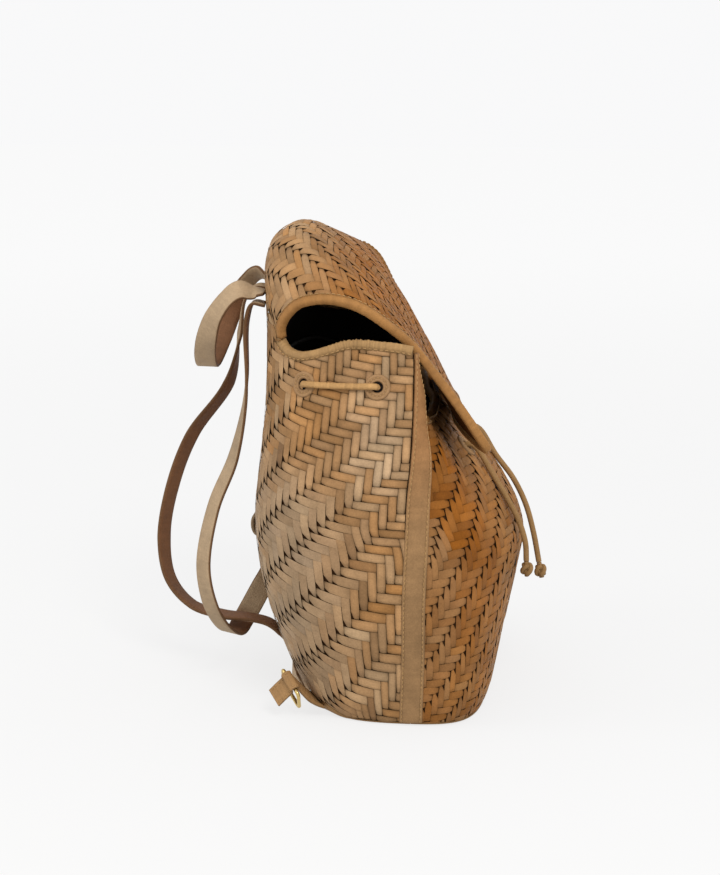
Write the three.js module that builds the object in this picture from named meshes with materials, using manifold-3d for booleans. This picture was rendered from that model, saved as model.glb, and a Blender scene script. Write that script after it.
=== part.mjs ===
// A soft backpack woven of flat leather strips, standing on its base. Millimetres, +Z up.
// X runs across the bag, its front faces -Y, the straps hang on +Y, and the origin is the base's centre.
import * as THREE from 'three';
import Module from 'manifold-3d';

const wasm = await Module();
wasm.setup();
const { Manifold, Mesh: SolidMesh } = wasm;

// Driving dimensions
const WALL = 2.6;
const GAP = 0.3;
const BAND_WIDTH = 18;
const BAND_LEATHER = 1.6;
const BINDING_LEATHER = 1.2;
const BINDING_DEPTH = 5.2;
const STRAP_WIDTH = 18;
const STRAP_LEATHER = 2.6;
const FLAP_HALF_WIDTH = 101;
const FLAP_CORNER = 20;
const LACE = 4.6;
const EYELET_HOLE = 9;
const EYELET_OUTER = 20;
const EYELET_LEATHER = 1.8;
const EYELET_LIFT = 0.5;
const WIRE = 3;
const RING_WIDTH = 23;
const RING_HEIGHT = 20;
const HANDLE_SPREAD = 42;

// The body's outer shape: a row per height, with the half width, the back's y and how square the plan is
const BODY_ROWS = [
  { z: 0, halfWidth: 115, back: 58, square: 3.2 },
  { z: 2.5, halfWidth: 120, back: 64, square: 3.2 },
  { z: 8, halfWidth: 122, back: 69, square: 3.3 },
  { z: 18, halfWidth: 125.5, back: 75, square: 3.4 },
  { z: 48, halfWidth: 132, back: 88, square: 3.4 },
  { z: 80, halfWidth: 139, back: 100, square: 3.3 },
  { z: 113, halfWidth: 143, back: 108, square: 3.2 },
  { z: 154, halfWidth: 144, back: 111, square: 3.2 },
  { z: 194, halfWidth: 139, back: 107, square: 3.2 },
  { z: 234, halfWidth: 130, back: 103, square: 3.2 },
  { z: 270, halfWidth: 118, back: 102, square: 3.2 },
  { z: 298, halfWidth: 111, back: 102, square: 3.2 },
  { z: 345, halfWidth: 104, back: 104, square: 3.2 },
];

// The side seam's band: a row per height, with its rear edge's y and how far it turns to face the front
const SEAM_ROWS = [
  { z: 0, rear: -11.5, turn: 0 },
  { z: 57, rear: -14, turn: 0 },
  { z: 109, rear: -15, turn: 0 },
  { z: 157, rear: -17, turn: 4 },
  { z: 187, rear: -18, turn: 15 },
  { z: 212, rear: -20, turn: 33 },
  { z: 238, rear: -21, turn: 60 },
  { z: 276, rear: -21, turn: 74 },
  { z: 300, rear: -20, turn: 74 },
];

// The mouth's edge from the seam (along 0) to the back's middle (along 1): the right side's front corner sags
const RIM_ROWS = [
  { along: 0, left: 295, right: 247 },
  { along: 0.06, left: 297, right: 259 },
  { along: 0.12, left: 298, right: 272 },
  { along: 0.2, left: 299, right: 286 },
  { along: 0.26, left: 298, right: 292 },
  { along: 0.32, left: 294, right: 295 },
  { along: 0.39, left: 289.5, right: 297 },
  { along: 0.46, left: 287.5, right: 299 },
  { along: 0.54, left: 292, right: 304 },
  { along: 0.66, left: 314, right: 317 },
  { along: 0.8, left: 333, right: 333 },
  { along: 1, left: 340, right: 340 },
];
const BAND_TOP = { left: 266, right: 236 };

// The front panel: a row per course, with its height at the seam, its middle's y and z, and its fullness
const FRONT_ROWS = [
  { edge: 0, y: -70, z: 0, side: 130, across: 300 },
  { edge: 2.5, y: -75, z: 2.5, side: 140, across: 310 },
  { edge: 10, y: -79, z: 10, side: 145, across: 320 },
  { edge: 25, y: -82, z: 24, side: 150, across: 325 },
  { edge: 52, y: -87, z: 50, side: 145, across: 315 },
  { edge: 84, y: -94, z: 82, side: 130, across: 275 },
  { edge: 110, y: -99, z: 107, side: 118, across: 230 },
  { edge: 134, y: -102, z: 128, side: 110, across: 200 },
  { edge: 156, y: -97, z: 148, side: 100, across: 195 },
  { edge: 175, y: -88, z: 165, side: 85, across: 190 },
  { edge: 194, y: -77, z: 182, side: 70, across: 185 },
  { edge: 212, y: -61, z: 200, side: 60, across: 180 },
  { edge: 227, y: -45, z: 215, side: 55, across: 170 },
  { edge: 241, y: -28, z: 229, side: 55, across: 160 },
];

// Soft folds pressed into the front panel: place from the left seam (0) to the right one (2), depth,
// and the heights they span
const FRONT_FOLDS = [
  { place: 0.2, spread: 0.13, depth: 9, from: 130, to: 250 },
  { place: 0.62, spread: 0.12, depth: 4, from: 175, to: 250 },
  { place: 1.38, spread: 0.12, depth: 4, from: 175, to: 250 },
  { place: 1.72, spread: 0.3, depth: 15, from: 150, to: 250 },
];

// The flap's outer line over the top, back to front: along its middle, its left side and its lower right side
const FLAP_MIDDLE = [
  { y: 104, z: 340 }, { y: 104, z: 353 }, { y: 101, z: 364 }, { y: 90, z: 374 }, { y: 76, z: 378 },
  { y: 48, z: 363 }, { y: 20, z: 341 }, { y: 0, z: 315 }, { y: -20, z: 279 }, { y: -36, z: 249 },
  { y: -49, z: 224 },
];
const FLAP_LEFT = [
  { y: 80, z: 300 }, { y: 81, z: 309 }, { y: 77, z: 318 }, { y: 69, z: 326 }, { y: 56, z: 330 },
  { y: 40, z: 330 }, { y: 21, z: 325 }, { y: 1, z: 313 }, { y: -19, z: 297 }, { y: -37, z: 275 },
  { y: -53, z: 254 }, { y: -65, z: 237 }, { y: -76, z: 221 }, { y: -85, z: 211 },
];
const FLAP_RIGHT = [
  { y: 80, z: 300 }, { y: 79, z: 317 }, { y: 70, z: 332 }, { y: 57, z: 343 }, { y: 42, z: 348 },
  { y: 28, z: 340 }, { y: 13, z: 312 }, { y: -3, z: 284 }, { y: -17, z: 260 }, { y: -28, z: 238 },
  { y: -36, z: 220 },
];

// Dents of the flap: across from -1 to 1, along from back (0) to front (1), their reach and rise
const FLAP_DENTS = [
  { across: -0.35, along: 0.5, reachAcross: 0.4, reachAlong: 0.16, rise: -4 },
];

// Eyelets by the panel's own measures: along the wall and height on the sides, place and course in front
const SIDE_EYELETS = {
  left: [{ name: 'front', along: 0.13, z: 267 }, { name: 'back', along: 0.415, z: 266 }],
  right: [{ name: 'front', along: 0.18, z: 262 }, { name: 'back', along: 0.415, z: 265 }],
};
const FRONT_EYELET = { across: 34, course: 0.86 };

// Strap routes: points that the strap's middle line passes, and the direction that its width lies in there
const HANDLE_ROUTE = [
  { x: -HANDLE_SPREAD, y: 0, z: 326, wide: [1, 0, 0] },
  { x: -42, y: 111, z: 326.5, wide: [0.95, 0, 0.3] },
  { x: -50, y: 121, z: 329, wide: [0.8, -0.1, 0.6] },
  { x: -57, y: 130, z: 324, wide: [0.75, 0.42, 0.5] },
  { x: -58, y: 141, z: 309, wide: [0.6, 0.7, 0.4] },
  { x: -51, y: 148, z: 291, wide: [0.3, 0.9, 0.3] },
  { x: -33, y: 153, z: 273, wide: [0, 0.98, 0.15] },
  { x: 0, y: 156, z: 260, wide: [0, 1, 0] },
];
const STRAP_NEAR_ROUTE = [
  { x: -42, y: 0, z: 317, wide: [1, 0, 0] },
  { x: -43, y: 112, z: 318, wide: [1, 0, 0] },
  { x: -45, y: 117, z: 304, wide: [1, 0, 0] },
  { x: -48, y: 117, z: 259, wide: [1, 0.12, 0] },
  { x: -50, y: 119, z: 235, wide: [1, 0.25, 0] },
  { x: -54, y: 128, z: 194, wide: [0.85, 0.45, 0.2] },
  { x: -58, y: 143.5, z: 155, wide: [0.8, 0.55, 0.2] },
  { x: -62, y: 152, z: 108, wide: [0.7, 0.7, 0.1] },
  { x: -58, y: 148.5, z: 76, wide: [0.6, 0.8, 0] },
  { x: -44, y: 142, z: 53, wide: [0.5, 0.8, 0] },
  { x: -20, y: 135, z: 38, wide: [0.3, 0.95, 0.1] },
  { x: 9, y: 130, z: 43, wide: [0.1, 0.9, 0.35] },
  { x: 28, y: 115.5, z: 70, wide: [0, 0.55, 0.85] },
  { x: 48, y: 107, z: 86, wide: [-0.1, 0.15, 1] },
  { x: 66, y: 101.5, z: 79, wide: [0.5, -0.05, 0.85] },
  { x: 79, y: 90, z: 57, wide: [0.8, -0.25, 0.5] },
];
const STRAP_FAR_ROUTE = [
  { x: 36, y: 0, z: 317, wide: [1, 0, 0] },
  { x: 36, y: 122, z: 320, wide: [1, 0, 0] },
  { x: 35, y: 131, z: 309, wide: [1, 0.1, 0] },
  { x: 34, y: 136, z: 280, wide: [1, 0.3, 0] },
  { x: 35, y: 146, z: 238, wide: [0.9, -0.3, -0.2] },
  { x: 30, y: 177, z: 194, wide: [0.85, -0.4, -0.25] },
  { x: 26, y: 194, z: 150, wide: [0.88, -0.4, -0.2] },
  { x: 20, y: 201, z: 107, wide: [0.92, -0.38, 0] },
  { x: 9, y: 194, z: 74, wide: [1, -0.2, 0] },
  { x: -1, y: 174, z: 55, wide: [1, 0, 0] },
  { x: -9, y: 147, z: 49.5, wide: [1, 0.05, 0.05] },
  { x: -13, y: 121, z: 48.5, wide: [1, 0.05, 0] },
  { x: -15, y: 106, z: 45.5, wide: [1, 0, 0] },
  { x: -17, y: 95.5, z: 38, wide: [1, 0, 0] },
  { x: -22, y: 87, z: 27, wide: [0.85, 0, -0.5] },
  { x: -40, y: 82, z: 20, wide: [0.3, 0.05, -0.95] },
  { x: -62, y: 79, z: 19, wide: [0, 0.05, -1] },
];

// The left corner's ring and tab, and where a strap ends on the wall beside them; the right one is the mirror
const RING_CENTRE = new THREE.Vector3(-108, 75, 22);
const RING_BAR = new THREE.Vector3(-0.62, -0.55, -0.56).normalize();
const RING_DROP = new THREE.Vector3(0.643, 0.052, -0.764).normalize();
const TAB_ROOT = { x: -102, z: 9 };
const TAB_WIDTH = 17;
const TAB_LEATHER = 2;
const TAB_TAIL = 16;
const STRAP_FOOT = { x: -84, z: 20 };

// The hanging ends of the drawstring, from the front eyelets down to their knots
const CORD_END_LEFT = [
  { x: -37, y: -77.5, z: 184 }, { x: -40, y: -89, z: 166 }, { x: -42, y: -99.5, z: 147 },
  { x: -42, y: -105.5, z: 128 }, { x: -41, y: -106.5, z: 113 },
];
const CORD_END_RIGHT = [
  { x: 32, y: -78, z: 183 }, { x: 28, y: -93, z: 164 }, { x: 24, y: -104, z: 143 },
  { x: 19, y: -111, z: 120 }, { x: 15, y: -116, z: 96 },
];
const KNOT = { length: 14, radius: 5 };
const BACK_TAB = { x: -24, z: 134, width: 14, height: 18, depth: 9 };

// Small tools
const vec = (x, y, z) => new THREE.Vector3(x, y, z);
const clamp01 = (t) => Math.min(1, Math.max(0, t));
const smooth = (t) => clamp01(t) ** 2 * (3 - 2 * clamp01(t));
const signedPower = (value, power) => Math.sign(value) * Math.abs(value) ** power;
const degrees = (angle) => (angle * Math.PI) / 180;

// A smooth line through one column of a table, read at any value of its key
function column(rows, key, name) {
  const keys = rows.map((row) => row[key]);
  const values = rows.map((row) => row[name]);
  const last = rows.length - 1;
  const slope = (i) => {
    const low = Math.max(0, i - 1);
    const high = Math.min(last, i + 1);
    return (values[high] - values[low]) / (keys[high] - keys[low]);
  };
  return (at) => {
    let i = 0;
    while (i < last - 1 && at > keys[i + 1]) i += 1;
    const span = keys[i + 1] - keys[i];
    const t = clamp01((at - keys[i]) / span);
    const start = values[i] * (1 + 2 * t) * (1 - t) ** 2 + slope(i) * span * t * (1 - t) ** 2;
    return start + values[i + 1] * t * t * (3 - 2 * t) + slope(i + 1) * span * t * t * (t - 1);
  };
}

// The value between low and high where a rising measure reaches its goal
function solveRising(measure, goal, low, high) {
  for (let step = 0; step < 40; step += 1) {
    const middle = (low + high) / 2;
    if (measure(middle) < goal) low = middle;
    else high = middle;
  }
  return (low + high) / 2;
}

// Closed shells

// A geometry of shared points and triangles, turned to face outward
function closedGeometry(points, triangles) {
  let volume = 0;
  for (const [a, b, c] of triangles) volume += points[a].dot(points[b].clone().cross(points[c]));
  const facing = volume < 0 ? triangles.map(([a, b, c]) => [a, c, b]) : triangles;
  const geometry = new THREE.BufferGeometry();
  geometry.setAttribute('position', new THREE.Float32BufferAttribute(points.flatMap((p) => p.toArray()), 3));
  geometry.setIndex(facing.flat());
  return geometry;
}

// The outward normal at each point of a grid of rows, away from the given inside point
function gridNormals(grid, inside) {
  const rows = grid.length;
  const columns = grid[0].length;
  return grid.map((row, j) => row.map((point, i) => {
    const along = grid[j][Math.min(columns - 1, i + 1)].clone().sub(grid[j][Math.max(0, i - 1)]);
    const up = grid[Math.min(rows - 1, j + 1)][i].clone().sub(grid[Math.max(0, j - 1)][i]);
    const normal = along.cross(up).normalize();
    return normal.dot(point.clone().sub(inside)) < 0 ? normal.negate() : normal;
  }));
}

// A wall: the grid's outer face, the same face moved in by the wall's thickness, and the edges between them
function wall(grid, normals, thickness) {
  const rows = grid.length;
  const columns = grid[0].length;
  const outer = grid.flat();
  const inner = outer.map((point, k) => point.clone().addScaledVector(normals.flat()[k], -thickness));
  const shift = outer.length;
  const triangles = [];
  const quad = (a, b, c, d) => triangles.push([a, b, c], [a, c, d]);
  const at = (j, i) => j * columns + i;
  for (let j = 0; j < rows - 1; j += 1) {
    for (let i = 0; i < columns - 1; i += 1) {
      quad(at(j, i), at(j, i + 1), at(j + 1, i + 1), at(j + 1, i));
      quad(shift + at(j, i), shift + at(j + 1, i), shift + at(j + 1, i + 1), shift + at(j, i + 1));
    }
    quad(at(j, 0), at(j + 1, 0), shift + at(j + 1, 0), shift + at(j, 0));
    const end = columns - 1;
    quad(at(j + 1, end), at(j, end), shift + at(j, end), shift + at(j + 1, end));
  }
  for (let i = 0; i < columns - 1; i += 1) {
    quad(at(0, i + 1), at(0, i), shift + at(0, i), shift + at(0, i + 1));
    quad(at(rows - 1, i), at(rows - 1, i + 1), shift + at(rows - 1, i + 1), shift + at(rows - 1, i));
  }
  return closedGeometry([...outer, ...inner], triangles);
}

// A section carried along frames, each with a place and the section's two directions; a loop joins its ends
function sweep(frames, section, loop = false) {
  const size = section.length;
  const points = frames.flatMap(({ at, right, up }) => section.map(
    ([a, b]) => at.clone().addScaledVector(right, a).addScaledVector(up, b)));
  const triangles = [];
  const steps = loop ? frames.length : frames.length - 1;
  for (let j = 0; j < steps; j += 1) {
    const here = j * size;
    const next = ((j + 1) % frames.length) * size;
    for (let k = 0; k < size; k += 1) {
      const turn = (k + 1) % size;
      triangles.push([here + k, here + turn, next + turn], [here + k, next + turn, next + k]);
    }
  }
  if (!loop) {
    const contour = section.map(([a, b]) => new THREE.Vector2(a, b));
    const last = (frames.length - 1) * size;
    for (const [a, b, c] of THREE.ShapeUtils.triangulateShape(contour, [])) {
      triangles.push([c, b, a], [last + a, last + b, last + c]);
    }
  }
  return closedGeometry(points, triangles);
}

const rectangle = (width, height) => [
  [-width / 2, -height / 2], [width / 2, -height / 2], [width / 2, height / 2], [-width / 2, height / 2]];
const circle = (diameter, sides) => Array.from({ length: sides }, (_, k) => {
  const turn = (2 * Math.PI * k) / sides;
  return [(diameter / 2) * Math.cos(turn), (diameter / 2) * Math.sin(turn)];
});
// A smooth curve through points
const curveThrough = (points) => new THREE.CatmullRomCurve3(points, false, 'centripetal');

// Frames of a flat strap: its route's smooth line, with the table's width directions squared to that line
function strapFrames(route, steps) {
  const curve = curveThrough(route.map((row) => vec(row.x, row.y, row.z)));
  return Array.from({ length: steps + 1 }, (_, k) => {
    const t = k / steps;
    const place = curve.getUtoTmapping(t) * (route.length - 1);
    const row = Math.min(route.length - 2, Math.floor(place));
    const wideAt = (k) => vec(...route[k].wide).normalize();
    const wide = wideAt(row).lerp(wideAt(row + 1), place - row);
    const tangent = curve.getTangentAt(t);
    wide.addScaledVector(tangent, -wide.dot(tangent)).normalize();
    return { at: curve.getPointAt(t), right: wide, up: tangent.clone().cross(wide) };
  });
}

const mirrored = (route) => route.map((row) => {
  const [x, y, z] = row.wide;
  return { ...row, x: -row.x, wide: [-x, y, z] };
});

// Cuts with solids

function toSolid(geometry) {
  return new Manifold(new SolidMesh({
    numProp: 3,
    vertProperties: new Float32Array(geometry.getAttribute('position').array),
    triVerts: new Uint32Array(geometry.getIndex().array),
  }));
}

function toGeometry(solid) {
  const mesh = solid.getMesh();
  const geometry = new THREE.BufferGeometry();
  geometry.setAttribute('position', new THREE.BufferAttribute(new Float32Array(mesh.vertProperties), 3));
  geometry.setIndex(new THREE.BufferAttribute(new Uint32Array(mesh.triVerts), 1));
  return geometry;
}

// A wall with a round hole through it at each place
function pierced(geometry, places) {
  const cutters = places.map(({ at, right, up }) => {
    const normal = right.clone().cross(up);
    const ends = [-10, 10].map((depth) => ({ at: at.clone().addScaledVector(normal, depth), right, up }));
    return toSolid(sweep(ends, circle(EYELET_HOLE, 12)));
  });
  return toGeometry(cutters.reduce((solid, cutter) => solid.subtract(cutter), toSolid(geometry)));
}

// The body's surface

const halfWidthAt = column(BODY_ROWS, 'z', 'halfWidth');
const backAt = column(BODY_ROWS, 'z', 'back');
const squareAt = column(BODY_ROWS, 'z', 'square');
const rearAt = column(SEAM_ROWS, 'z', 'rear');
const turnAt = column(SEAM_ROWS, 'z', 'turn');
const rimLeft = column(RIM_ROWS, 'along', 'left');
const rimRight = column(RIM_ROWS, 'along', 'right');
const BODY_MIDDLE = vec(0, 5, 150);

// How far the side wall reaches in front of the band's rear edge: half the band, or nothing where it turns
const underBand = (z) => (BAND_WIDTH / 2 - GAP) * (1 - smooth(turnAt(z) / 6)) - GAP;

function planPoint(angle, z) {
  const seam = rearAt(z) - underBand(z);
  const power = 2 / squareAt(z);
  const x = -halfWidthAt(z) * signedPower(Math.cos(angle), power);
  return vec(x, seam + (backAt(z) - seam) * signedPower(Math.sin(angle), power), z);
}

// A point of the wrap, by its share of the way from the left seam (0) past the back (1) to the right seam (2)
function wrapPoint(share, z) {
  const along = share <= 1 ? share : 2 - share;
  const steps = 72;
  const lengths = [0];
  const points = [planPoint(0, z)];
  for (let k = 1; k <= steps; k += 1) {
    points.push(planPoint((Math.PI / 2) * (k / steps), z));
    lengths.push(lengths[k - 1] + points[k].distanceTo(points[k - 1]));
  }
  const goal = along * lengths[steps];
  let k = 0;
  while (k < steps - 1 && lengths[k + 1] < goal) k += 1;
  const point = points[k].clone().lerp(points[k + 1], (goal - lengths[k]) / (lengths[k + 1] - lengths[k]));
  if (share > 1) point.x = -point.x;
  return point;
}

// Heights that share out the back's line evenly, so that the rounded lower edge gets its own rows
const CLIMB_STEPS = 140;
const CLIMB_TOP = RIM_ROWS[RIM_ROWS.length - 1].left;
const climb = [0];
for (let k = 1; k <= CLIMB_STEPS; k += 1) {
  const low = (CLIMB_TOP * (k - 1)) / CLIMB_STEPS;
  const high = (CLIMB_TOP * k) / CLIMB_STEPS;
  climb.push(climb[k - 1] + Math.hypot(high - low, backAt(high) - backAt(low)));
}
const climbAt = (z) => {
  const place = Math.min(CLIMB_STEPS - 1e-6, (z / CLIMB_TOP) * CLIMB_STEPS);
  const k = Math.floor(place);
  return climb[k] + (climb[k + 1] - climb[k]) * (place - k);
};
const heightAt = (length) => solveRising(climbAt, length, 0, CLIMB_TOP);

const rimHeight = (share) => (share <= 1 ? rimLeft(share) : rimRight(2 - share));

// The back wall's y at a given x and height
function backSurface(x, z) {
  const share = solveRising((s) => wrapPoint(s, z).x, x, 0, 2);
  return wrapPoint(share, z).y;
}

// The front panel's surface, by its share from left seam (0) to right (2) and its course from base to rim
const frontCourses = FRONT_ROWS.map((row, k) => ({ ...row, course: k / (FRONT_ROWS.length - 1) }));
const frontColumn = Object.fromEntries(['edge', 'y', 'z', 'side', 'across'].map(
  (name) => [name, column(frontCourses, 'course', name)]));

function frontPoint(share, course) {
  const along = share <= 1 ? share : 2 - share;
  const edge = frontColumn.edge(course);
  const turn = degrees(turnAt(edge));
  const reach = underBand(edge) + 2 * GAP + 2.5 * smooth(turnAt(edge) / 6) + 3.2 * Math.sin(turn);
  const start = vec(-halfWidthAt(edge) + reach * Math.sin(turn), rearAt(edge) - reach * Math.cos(turn), edge);
  const end = vec(0, frontColumn.y(course), frontColumn.z(course));
  const leave = vec(Math.sin(turn), -Math.cos(turn), 0).multiplyScalar(frontColumn.side(course));
  const cross = vec(frontColumn.across(course), 0, 0);
  const t = along;
  const point = start.clone().multiplyScalar((1 + 2 * t) * (1 - t) ** 2);
  point.addScaledVector(leave, t * (1 - t) ** 2);
  point.addScaledVector(end, t * t * (3 - 2 * t));
  point.addScaledVector(cross, t * t * (t - 1));
  point.z = edge + (end.z - edge) * smooth(t);
  if (share > 1) point.x = -point.x;
  for (const fold of FRONT_FOLDS) {
    const reachUp = smooth((edge - fold.from) / 60) * smooth((fold.to - edge) / 20 + 0.5);
    const nearness = Math.exp(-(((share - fold.place) / fold.spread) ** 2));
    const press = fold.depth * reachUp * nearness * smooth(t / 0.08);
    point.y += press;
    point.x += press * 0.4 * Math.sign(1 - fold.place);
  }
  return point;
}

// The flap's surface, across from -1 to 1 and along from its seam (0) to its front edge (1)
const flapCurve = (rows) => curveThrough(rows.map((row) => vec(0, row.y, row.z)));
const flapMiddle = flapCurve(FLAP_MIDDLE);
const flapLeft = flapCurve(FLAP_LEFT);
const flapRight = flapCurve(FLAP_RIGHT);
const FLAP_SEAM_SHARE = 0.44;
const FLAP_SEAM_GAP = 1;

function flapSheet(across, along) {
  const side = across < 0 ? flapLeft : flapRight;
  const point = flapMiddle.getPointAt(clamp01(along)).lerp(side.getPointAt(clamp01(along)), across * across);
  point.x = across * FLAP_HALF_WIDTH;
  for (const dent of FLAP_DENTS) {
    const offAcross = (across - dent.across) / dent.reachAcross;
    const offAlong = (along - dent.along) / dent.reachAlong;
    point.z += dent.rise * Math.exp(-(offAcross ** 2) - offAlong ** 2);
  }
  return point;
}

function flapPoint(across, along) {
  const share = 1 + FLAP_SEAM_SHARE * across;
  const seam = wrapPoint(share, rimHeight(share)).add(vec(0, 0, FLAP_SEAM_GAP));
  const shift = seam.sub(flapSheet(across, 0));
  return flapSheet(across, along).addScaledVector(shift, 1 - smooth(along / 0.16));
}

// Grids of the three woven walls

const WRAP_COLUMNS = 36;
const WRAP_ROWS = 12;
const gridOf = (rows, columns, pointAt) => Array.from({ length: rows + 1 },
  (_, j) => Array.from({ length: columns + 1 }, (_, i) => pointAt(i, j)));
const wrapGrid = gridOf(WRAP_ROWS, WRAP_COLUMNS, (i, j) => {
  const share = (2 * i) / WRAP_COLUMNS;
  const top = climbAt(rimHeight(share));
  return wrapPoint(share, heightAt(top * (j / WRAP_ROWS) ** 1.3));
});
const wrapNormals = gridNormals(wrapGrid, BODY_MIDDLE);

const FRONT_COLUMNS = 22;
const FRONT_COURSES = 12;
const frontGrid = gridOf(FRONT_COURSES, FRONT_COLUMNS,
  (i, j) => frontPoint((2 * i) / FRONT_COLUMNS, j / FRONT_COURSES));
const frontNormals = gridNormals(frontGrid, BODY_MIDDLE);

const FLAP_COLUMNS = 14;
const FLAP_ROWS = 18;
const CORNER_ROWS = 4;
const cornerShare = FLAP_CORNER / flapLeft.getLength();
const flapGrid = Array.from({ length: FLAP_ROWS + 1 }, (_, j) => {
  const straight = FLAP_ROWS - CORNER_ROWS;
  const corner = Math.sin((Math.PI / 2) * clamp01((j - straight) / CORNER_ROWS));
  const along = (1 - cornerShare) * Math.min(1, j / straight) + cornerShare * corner;
  const reach = 1 - (FLAP_CORNER / FLAP_HALF_WIDTH) * (1 - Math.sqrt(1 - corner ** 2));
  return Array.from({ length: FLAP_COLUMNS + 1 }, (_, i) => {
    const place = (2 * i) / FLAP_COLUMNS - 1;
    return flapPoint(reach * place * (1.25 - 0.25 * place ** 2), along);
  });
});
const flapNormals = gridNormals(flapGrid, vec(0, 30, 270));
flapNormals[0].forEach((normal) => normal.setZ(0).normalize());

// Where the eyelets sit: a place on the outer face with its two directions in the face
function faceFrame(pointAt, a, b, stepA, stepB) {
  const at = pointAt(a, b);
  const right = pointAt(a + stepA, b).sub(pointAt(a - stepA, b)).normalize();
  const rise = pointAt(a, b + stepB).sub(pointAt(a, b - stepB));
  const up = rise.addScaledVector(right, -rise.dot(right)).normalize();
  const normal = right.clone().cross(up);
  if (normal.dot(at.clone().sub(BODY_MIDDLE)) < 0) normal.negate();
  return { at, right, up, normal };
}

const SIDES = { left: -1, right: 1 };
const sideEyelet = ({ along, z }, side) => faceFrame(wrapPoint, side < 0 ? along : 2 - along, z, 0.01, 2);
const frontShare = solveRising((s) => frontPoint(s, FRONT_EYELET.course).x, -FRONT_EYELET.across, 0, 1);
const shareOn = (side, share) => (side < 0 ? share : 2 - share);
const frontEyelet = (side) => faceFrame(
  frontPoint, shareOn(side, frontShare), FRONT_EYELET.course, 0.01, 0.01);

// Pieces

function backAndSides() {
  const places = Object.entries(SIDES).flatMap(
    ([word, side]) => SIDE_EYELETS[word].map((row) => sideEyelet(row, side)));
  return pierced(wall(wrapGrid, wrapNormals, WALL), places);
}

function frontPanel() {
  return pierced(wall(frontGrid, frontNormals, WALL), [-1, 1].map(frontEyelet));
}

// The bottom: the walls' lower outline drawn in by a little and given its thickness
function basePanel() {
  const inset = 2.2;
  const outline = [...wrapGrid[0], ...frontGrid[0].slice().reverse()];
  const corners = outline.map((point, k) => {
    const before = outline[(k + outline.length - 1) % outline.length];
    const after = outline[(k + 1) % outline.length];
    const run = after.clone().sub(before).normalize();
    return new THREE.Vector2(point.x + run.y * inset, point.y - run.x * inset);
  });
  return new THREE.ExtrudeGeometry(new THREE.Shape(corners), { depth: WALL, bevelEnabled: false });
}

// The smooth band over a side seam
function seamBand(side, top) {
  const steps = 26;
  const bottom = 8;
  const lift = 2 * GAP;
  const frames = Array.from({ length: steps + 1 }, (_, k) => {
    const z = bottom + ((top - bottom) * k) / steps;
    const turn = degrees(turnAt(z));
    return {
      at: vec(side * halfWidthAt(z), rearAt(z), z),
      right: vec(-side * Math.sin(turn), -Math.cos(turn), 0),
      up: vec(side * Math.cos(turn), -Math.sin(turn), 0),
    };
  });
  return sweep(frames, [
    [0, lift], [BAND_WIDTH, lift], [BAND_WIDTH, lift + BAND_LEATHER], [0, lift + BAND_LEATHER]]);
}

// Leather folded over a wall's edge: frames at the edge, right pointing out of the face and up past the edge
const FOLD_GAP = 0.8;
const FOLD_OUT = FOLD_GAP + BINDING_LEATHER;
const foldSection = [
  [FOLD_OUT, -BINDING_DEPTH],
  [FOLD_OUT, FOLD_OUT],
  [-WALL - FOLD_OUT, FOLD_OUT],
  [-WALL - FOLD_OUT, -BINDING_DEPTH],
  [-WALL - FOLD_GAP, -BINDING_DEPTH],
  [-WALL - FOLD_GAP, FOLD_GAP],
  [FOLD_GAP, FOLD_GAP],
  [FOLD_GAP, -BINDING_DEPTH],
];

// Frames along an edge of a wall, from its points, their normals and the points just behind them
function edgeFrames(edge) {
  return edge.map(({ at, behind, normal }, k) => {
    const before = edge[Math.max(0, k - 1)].at;
    const after = edge[Math.min(edge.length - 1, k + 1)].at;
    const run = after.clone().sub(before).normalize();
    const up = at.clone().sub(behind);
    up.addScaledVector(run, -up.dot(run)).normalize();
    const right = run.cross(up);
    return { at, right: right.dot(normal) < 0 ? right.negate() : right, up };
  });
}

const edgePoint = (grid, normals, j, i, behindJ, behindI) => ({
  at: grid[j][i], behind: grid[behindJ][behindI], normal: normals[j][i] });

function mouthBinding(side) {
  const last = Math.floor((WRAP_COLUMNS / 2) * 0.48);
  const edge = [];
  for (let k = 1; k <= last; k += 1) {
    const i = side < 0 ? k : WRAP_COLUMNS - k;
    edge.push(edgePoint(wrapGrid, wrapNormals, WRAP_ROWS, i, WRAP_ROWS - 1, i));
  }
  return sweep(edgeFrames(edge), foldSection);
}

function frontBinding() {
  const edge = [];
  for (let i = 2; i <= FRONT_COLUMNS - 2; i += 1) {
    edge.push(edgePoint(frontGrid, frontNormals, FRONT_COURSES, i, FRONT_COURSES - 1, i));
  }
  return sweep(edgeFrames(edge), foldSection);
}

// The rolled edge down one side of the flap, across its front and up the other side
function flapBinding() {
  const first = 2;
  const edge = [];
  const add = (j, i, behindJ, behindI) => edge.push(edgePoint(flapGrid, flapNormals, j, i, behindJ, behindI));
  for (let j = first; j < FLAP_ROWS; j += 1) add(j, 0, j, 1);
  for (let i = 0; i <= FLAP_COLUMNS; i += 1) add(FLAP_ROWS, i, FLAP_ROWS - 1, i);
  for (let j = FLAP_ROWS - 1; j >= first; j -= 1) add(j, FLAP_COLUMNS, j, FLAP_COLUMNS - 1);
  return sweep(edgeFrames(edge), foldSection);
}

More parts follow.
